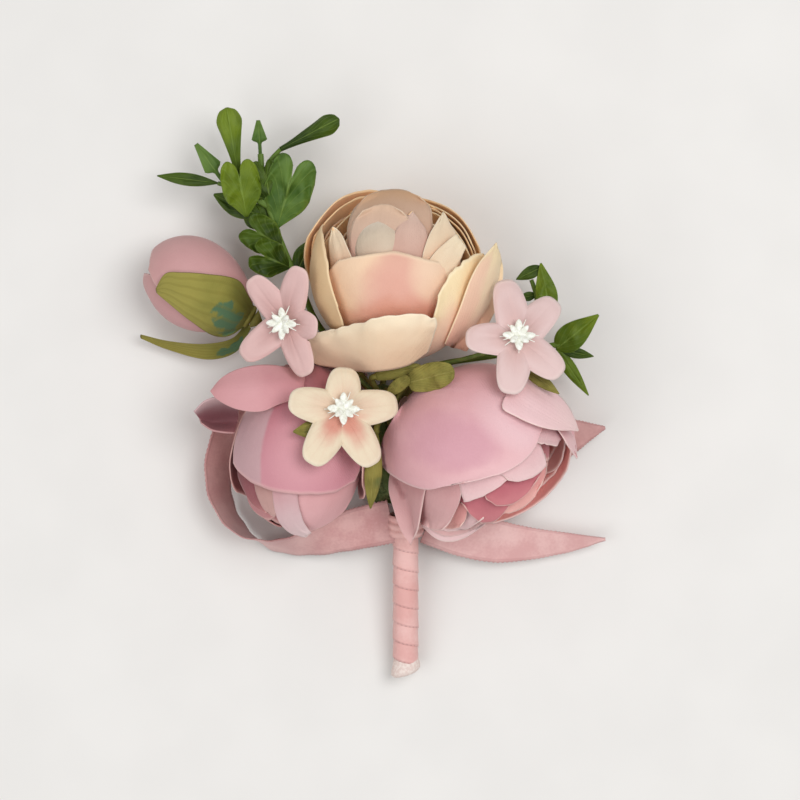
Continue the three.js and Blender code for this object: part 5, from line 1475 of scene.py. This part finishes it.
def add_slotted_tube(form, inner, outer, mouth, start, length):
    """A tube along the needle, open along a slot that faces away from the bar."""
    tube = bmesh.new()
    corners = [(inner, start), (outer, start), (outer, start + length), (inner, start + length)]
    verts = [tube.verts.new((radius, along, 0)) for radius, along in corners]
    face = tube.faces.new(verts)
    first = -math.pi / 2 + mouth
    bmesh.ops.rotate(tube, cent=(0, 0, 0), matrix=Matrix.Rotation(-first, 3, "Y"), verts=tube.verts)
    bmesh.ops.spin(tube, geom=[face, *face.edges, *verts], axis=(0, -1, 0), cent=(0, 0, 0),
                   angle=2 * (math.pi - mouth), steps=TUBE_STEPS)
    bmesh.ops.recalc_face_normals(tube, faces=tube.faces)
    bmesh.ops.translate(tube, vec=(0, 0, NEEDLE_HEIGHT), verts=tube.verts)
    fix_on(form, tube)


def add_ear(form, start):
    ear = bmesh.new()
    ends = (HINGE_ALONG + EAR_RADIUS, HINGE_ALONG - EAR_RADIUS)
    verts = [ear.verts.new((start, along, EAR_ROOT)) for along in ends]
    for i in range(EAR_STEPS + 1):
        turn = math.pi + math.pi * i / EAR_STEPS
        along = HINGE_ALONG + EAR_RADIUS * math.cos(turn)
        verts.append(ear.verts.new((start, along, NEEDLE_HEIGHT + EAR_RADIUS * math.sin(turn))))
    face = ear.faces.new(verts)
    moved = bmesh.ops.extrude_face_region(ear, geom=[face])["geom"]
    far = [item for item in moved if isinstance(item, bmesh.types.BMVert)]
    bmesh.ops.translate(ear, vec=(EAR_THICKNESS, 0, 0), verts=far)
    bmesh.ops.recalc_face_normals(ear, faces=ear.faces)
    fix_on(form, ear)


bar = new_form()
add_plate(bar, BAR_WIDTH, BAR_LENGTH, BAR_WIDTH / 3, 0, BAR_THICKNESS, BAR_EDGE)
add_ear(bar, EAR_INSIDE)
add_ear(bar, -EAR_INSIDE - EAR_THICKNESS)
add_slotted_tube(bar, CATCH_BORE, CATCH_BORE + CATCH_WALL, CATCH_MOUTH, CATCH_END, CATCH_LENGTH)
post_height = POST_TOP - NEEDLE_HEIGHT - CATCH_BORE - CATCH_WALL / 2
post_middle = (0, CATCH_END + POST_LENGTH / 2, POST_TOP - post_height / 2)
post = block((2 * CATCH_BORE, POST_LENGTH, post_height), post_middle)
round_off(post, post.edges[:], POST_EDGE)
fix_on(bar, post)
for face in bar.faces:
    face.smooth = False
settle("steel_bar", bar, [steel], "pin_bar")

# Rivet
# A headed steel pin through both ears, spread over at its far end.
RIVET_PLAY = 0.2
RIVET_HEAD = [(0, 0.4), (0.6, 0.38), (0.95, 0.15), (0.95, 0), (RIVET_RADIUS, 0)]
rivet = new_form()
head_at = EAR_INSIDE + EAR_THICKNESS + RIVET_PLAY
head = [(radius, head_at + rise) for radius, rise in RIVET_HEAD]
profile = head + [(radius, -height) for radius, height in reversed(head)]
hinge_place = Matrix.Translation(placed(PIN_MIDDLE + Vector((0, HINGE_ALONG, NEEDLE_HEIGHT))))
hinge_place = hinge_place @ Matrix.Scale(MM, 4) @ Matrix.Rotation(math.pi / 2, 4, "Y")
turn_profile(rivet, lathe_line(profile), hinge_place, sides=32)
settle("steel_rivet", rivet, [steel], "pin_rivet")

# Needle
# Hard drawn steel wire with an eye flattened round the rivet and a ground point that rests in the catch.
EYE_HALF_WIDTH = 0.5
EYE_WALL = 0.7
EYE_FLAT = 0.5
EYE_ROUND = 0.3
NEEDLE_TIP = 2.5
needle = new_form()
flat_end, round_end = RIVET_BORE + EYE_FLAT, RIVET_BORE + EYE_WALL
eye = [(RIVET_BORE, -EYE_HALF_WIDTH), (RIVET_BORE, EYE_HALF_WIDTH), (flat_end, EYE_HALF_WIDTH)]
eye += [(round_end, EYE_ROUND), (round_end, -EYE_ROUND), (flat_end, -EYE_HALF_WIDTH), eye[0]]
turn_profile(needle, lathe_line(eye), hinge_place, sides=36)
shaft_start = PIN_MIDDLE + Vector((0, HINGE_ALONG - RIVET_BORE - EYE_WALL / 2, NEEDLE_HEIGHT))
point_start = PIN_MIDDLE + Vector((0, CATCH_END + POST_LENGTH + NEEDLE_TIP, NEEDLE_HEIGHT))
point_end = point_start - Vector((0, NEEDLE_TIP, 0))
add_wire(needle, [shaft_start, point_start], NEEDLE_RADIUS)
add_wire(needle, [point_start, point_end], NEEDLE_RADIUS, 0, (1, 0.1))
settle("steel_needle", needle, [steel], "pin_needle", body="needle")

# Safety sleeve
# A short rolled sleeve that turns on the catch tube by a small tab, to close the slot over the needle.
SLEEVE_CLEARANCE = 0.12
SLEEVE_WALL = 0.4
SLEEVE_INNER = CATCH_BORE + CATCH_WALL + SLEEVE_CLEARANCE
SLEEVE_OUTER = SLEEVE_INNER + SLEEVE_WALL
SLEEVE_LENGTH = 2.2
SLEEVE_MOUTH = math.radians(28)
TAB_SIZE = (1.4, 1.5, 0.6)
TAB_EDGE = 0.15
TAB_REACH = 0.5
sleeve_start = CATCH_END + CATCH_LENGTH - SLEEVE_LENGTH - SLEEVE_CLEARANCE
sleeve = new_form()
add_slotted_tube(sleeve, SLEEVE_INNER, SLEEVE_OUTER, SLEEVE_MOUTH, sleeve_start, SLEEVE_LENGTH)
tab = block(TAB_SIZE, (SLEEVE_OUTER + TAB_REACH, sleeve_start + SLEEVE_LENGTH / 2, NEEDLE_HEIGHT))
round_off(tab, tab.edges[:], TAB_EDGE)
fix_on(sleeve, tab)
for face in sleeve.faces:
    face.smooth = False
settle("steel_sleeve", sleeve, [steel], "pin_sleeve", body="safety_sleeve")

# Table, light and camera
# A plain pale table, two wide soft lamps and a camera looking straight down from above the spray.
EYE_HEIGHT = 615
EYE_OVER = (4.275, 11.06)
FRAME_WIDTH = 184
FRAME_DISTANCE = 600
TABLE_HALF = 3
SKY_STRENGTH = 0.42
LAMP_AIM = Vector((0, 0, 0.02))


def table_paint(spot, u, v):
    colour = spot.noise(40, 2).ease(0.2, 0.8).blend(dye(226, 224, 221), dye(230, 228, 225))
    return {"Base Color": colour}


table_form = bmesh.new()
bmesh.ops.create_grid(table_form, x_segments=1, y_segments=1, size=TABLE_HALF)
table_mesh = bpy.data.meshes.new("table")
table_form.to_mesh(table_mesh)
table_form.free()
table_mesh.materials.append(finish("pale table", table_paint, Roughness=0.9))
table = bpy.data.objects.new("table", table_mesh)
bpy.context.scene.collection.objects.link(table)


def add_lamp(name, place, size, power):
    data = bpy.data.lights.new(name, "AREA")
    data.shape = "DISK"
    data.size = size
    data.energy = power
    lamp = bpy.data.objects.new(name, data)
    lamp.location = place
    lamp.rotation_euler = (LAMP_AIM - Vector(place)).to_track_quat("-Z", "Y").to_euler()
    bpy.context.scene.collection.objects.link(lamp)


add_lamp("key", (0.3, 0.14, 0.76), size=0.5, power=3.6)
add_lamp("fill", (-0.4, -0.25, 0.7), size=0.7, power=2.4)

world = bpy.data.worlds.new("studio")
world.use_nodes = True
sky = world.node_tree.nodes["Background"]
sky.inputs["Color"].default_value = (1, 1, 1, 1)
sky.inputs["Strength"].default_value = SKY_STRENGTH
bpy.context.scene.world = world

camera_data = bpy.data.cameras.new("eye")
camera_data.sensor_width = 36
camera_data.lens = camera_data.sensor_width * FRAME_DISTANCE / FRAME_WIDTH
camera_data.clip_start = 0.01
camera = bpy.data.objects.new("eye", camera_data)
camera.location = placed((*EYE_OVER, EYE_HEIGHT))
bpy.context.scene.collection.objects.link(camera)
bpy.context.scene.camera = camera
bpy.context.scene.view_settings.view_transform = "Standard"
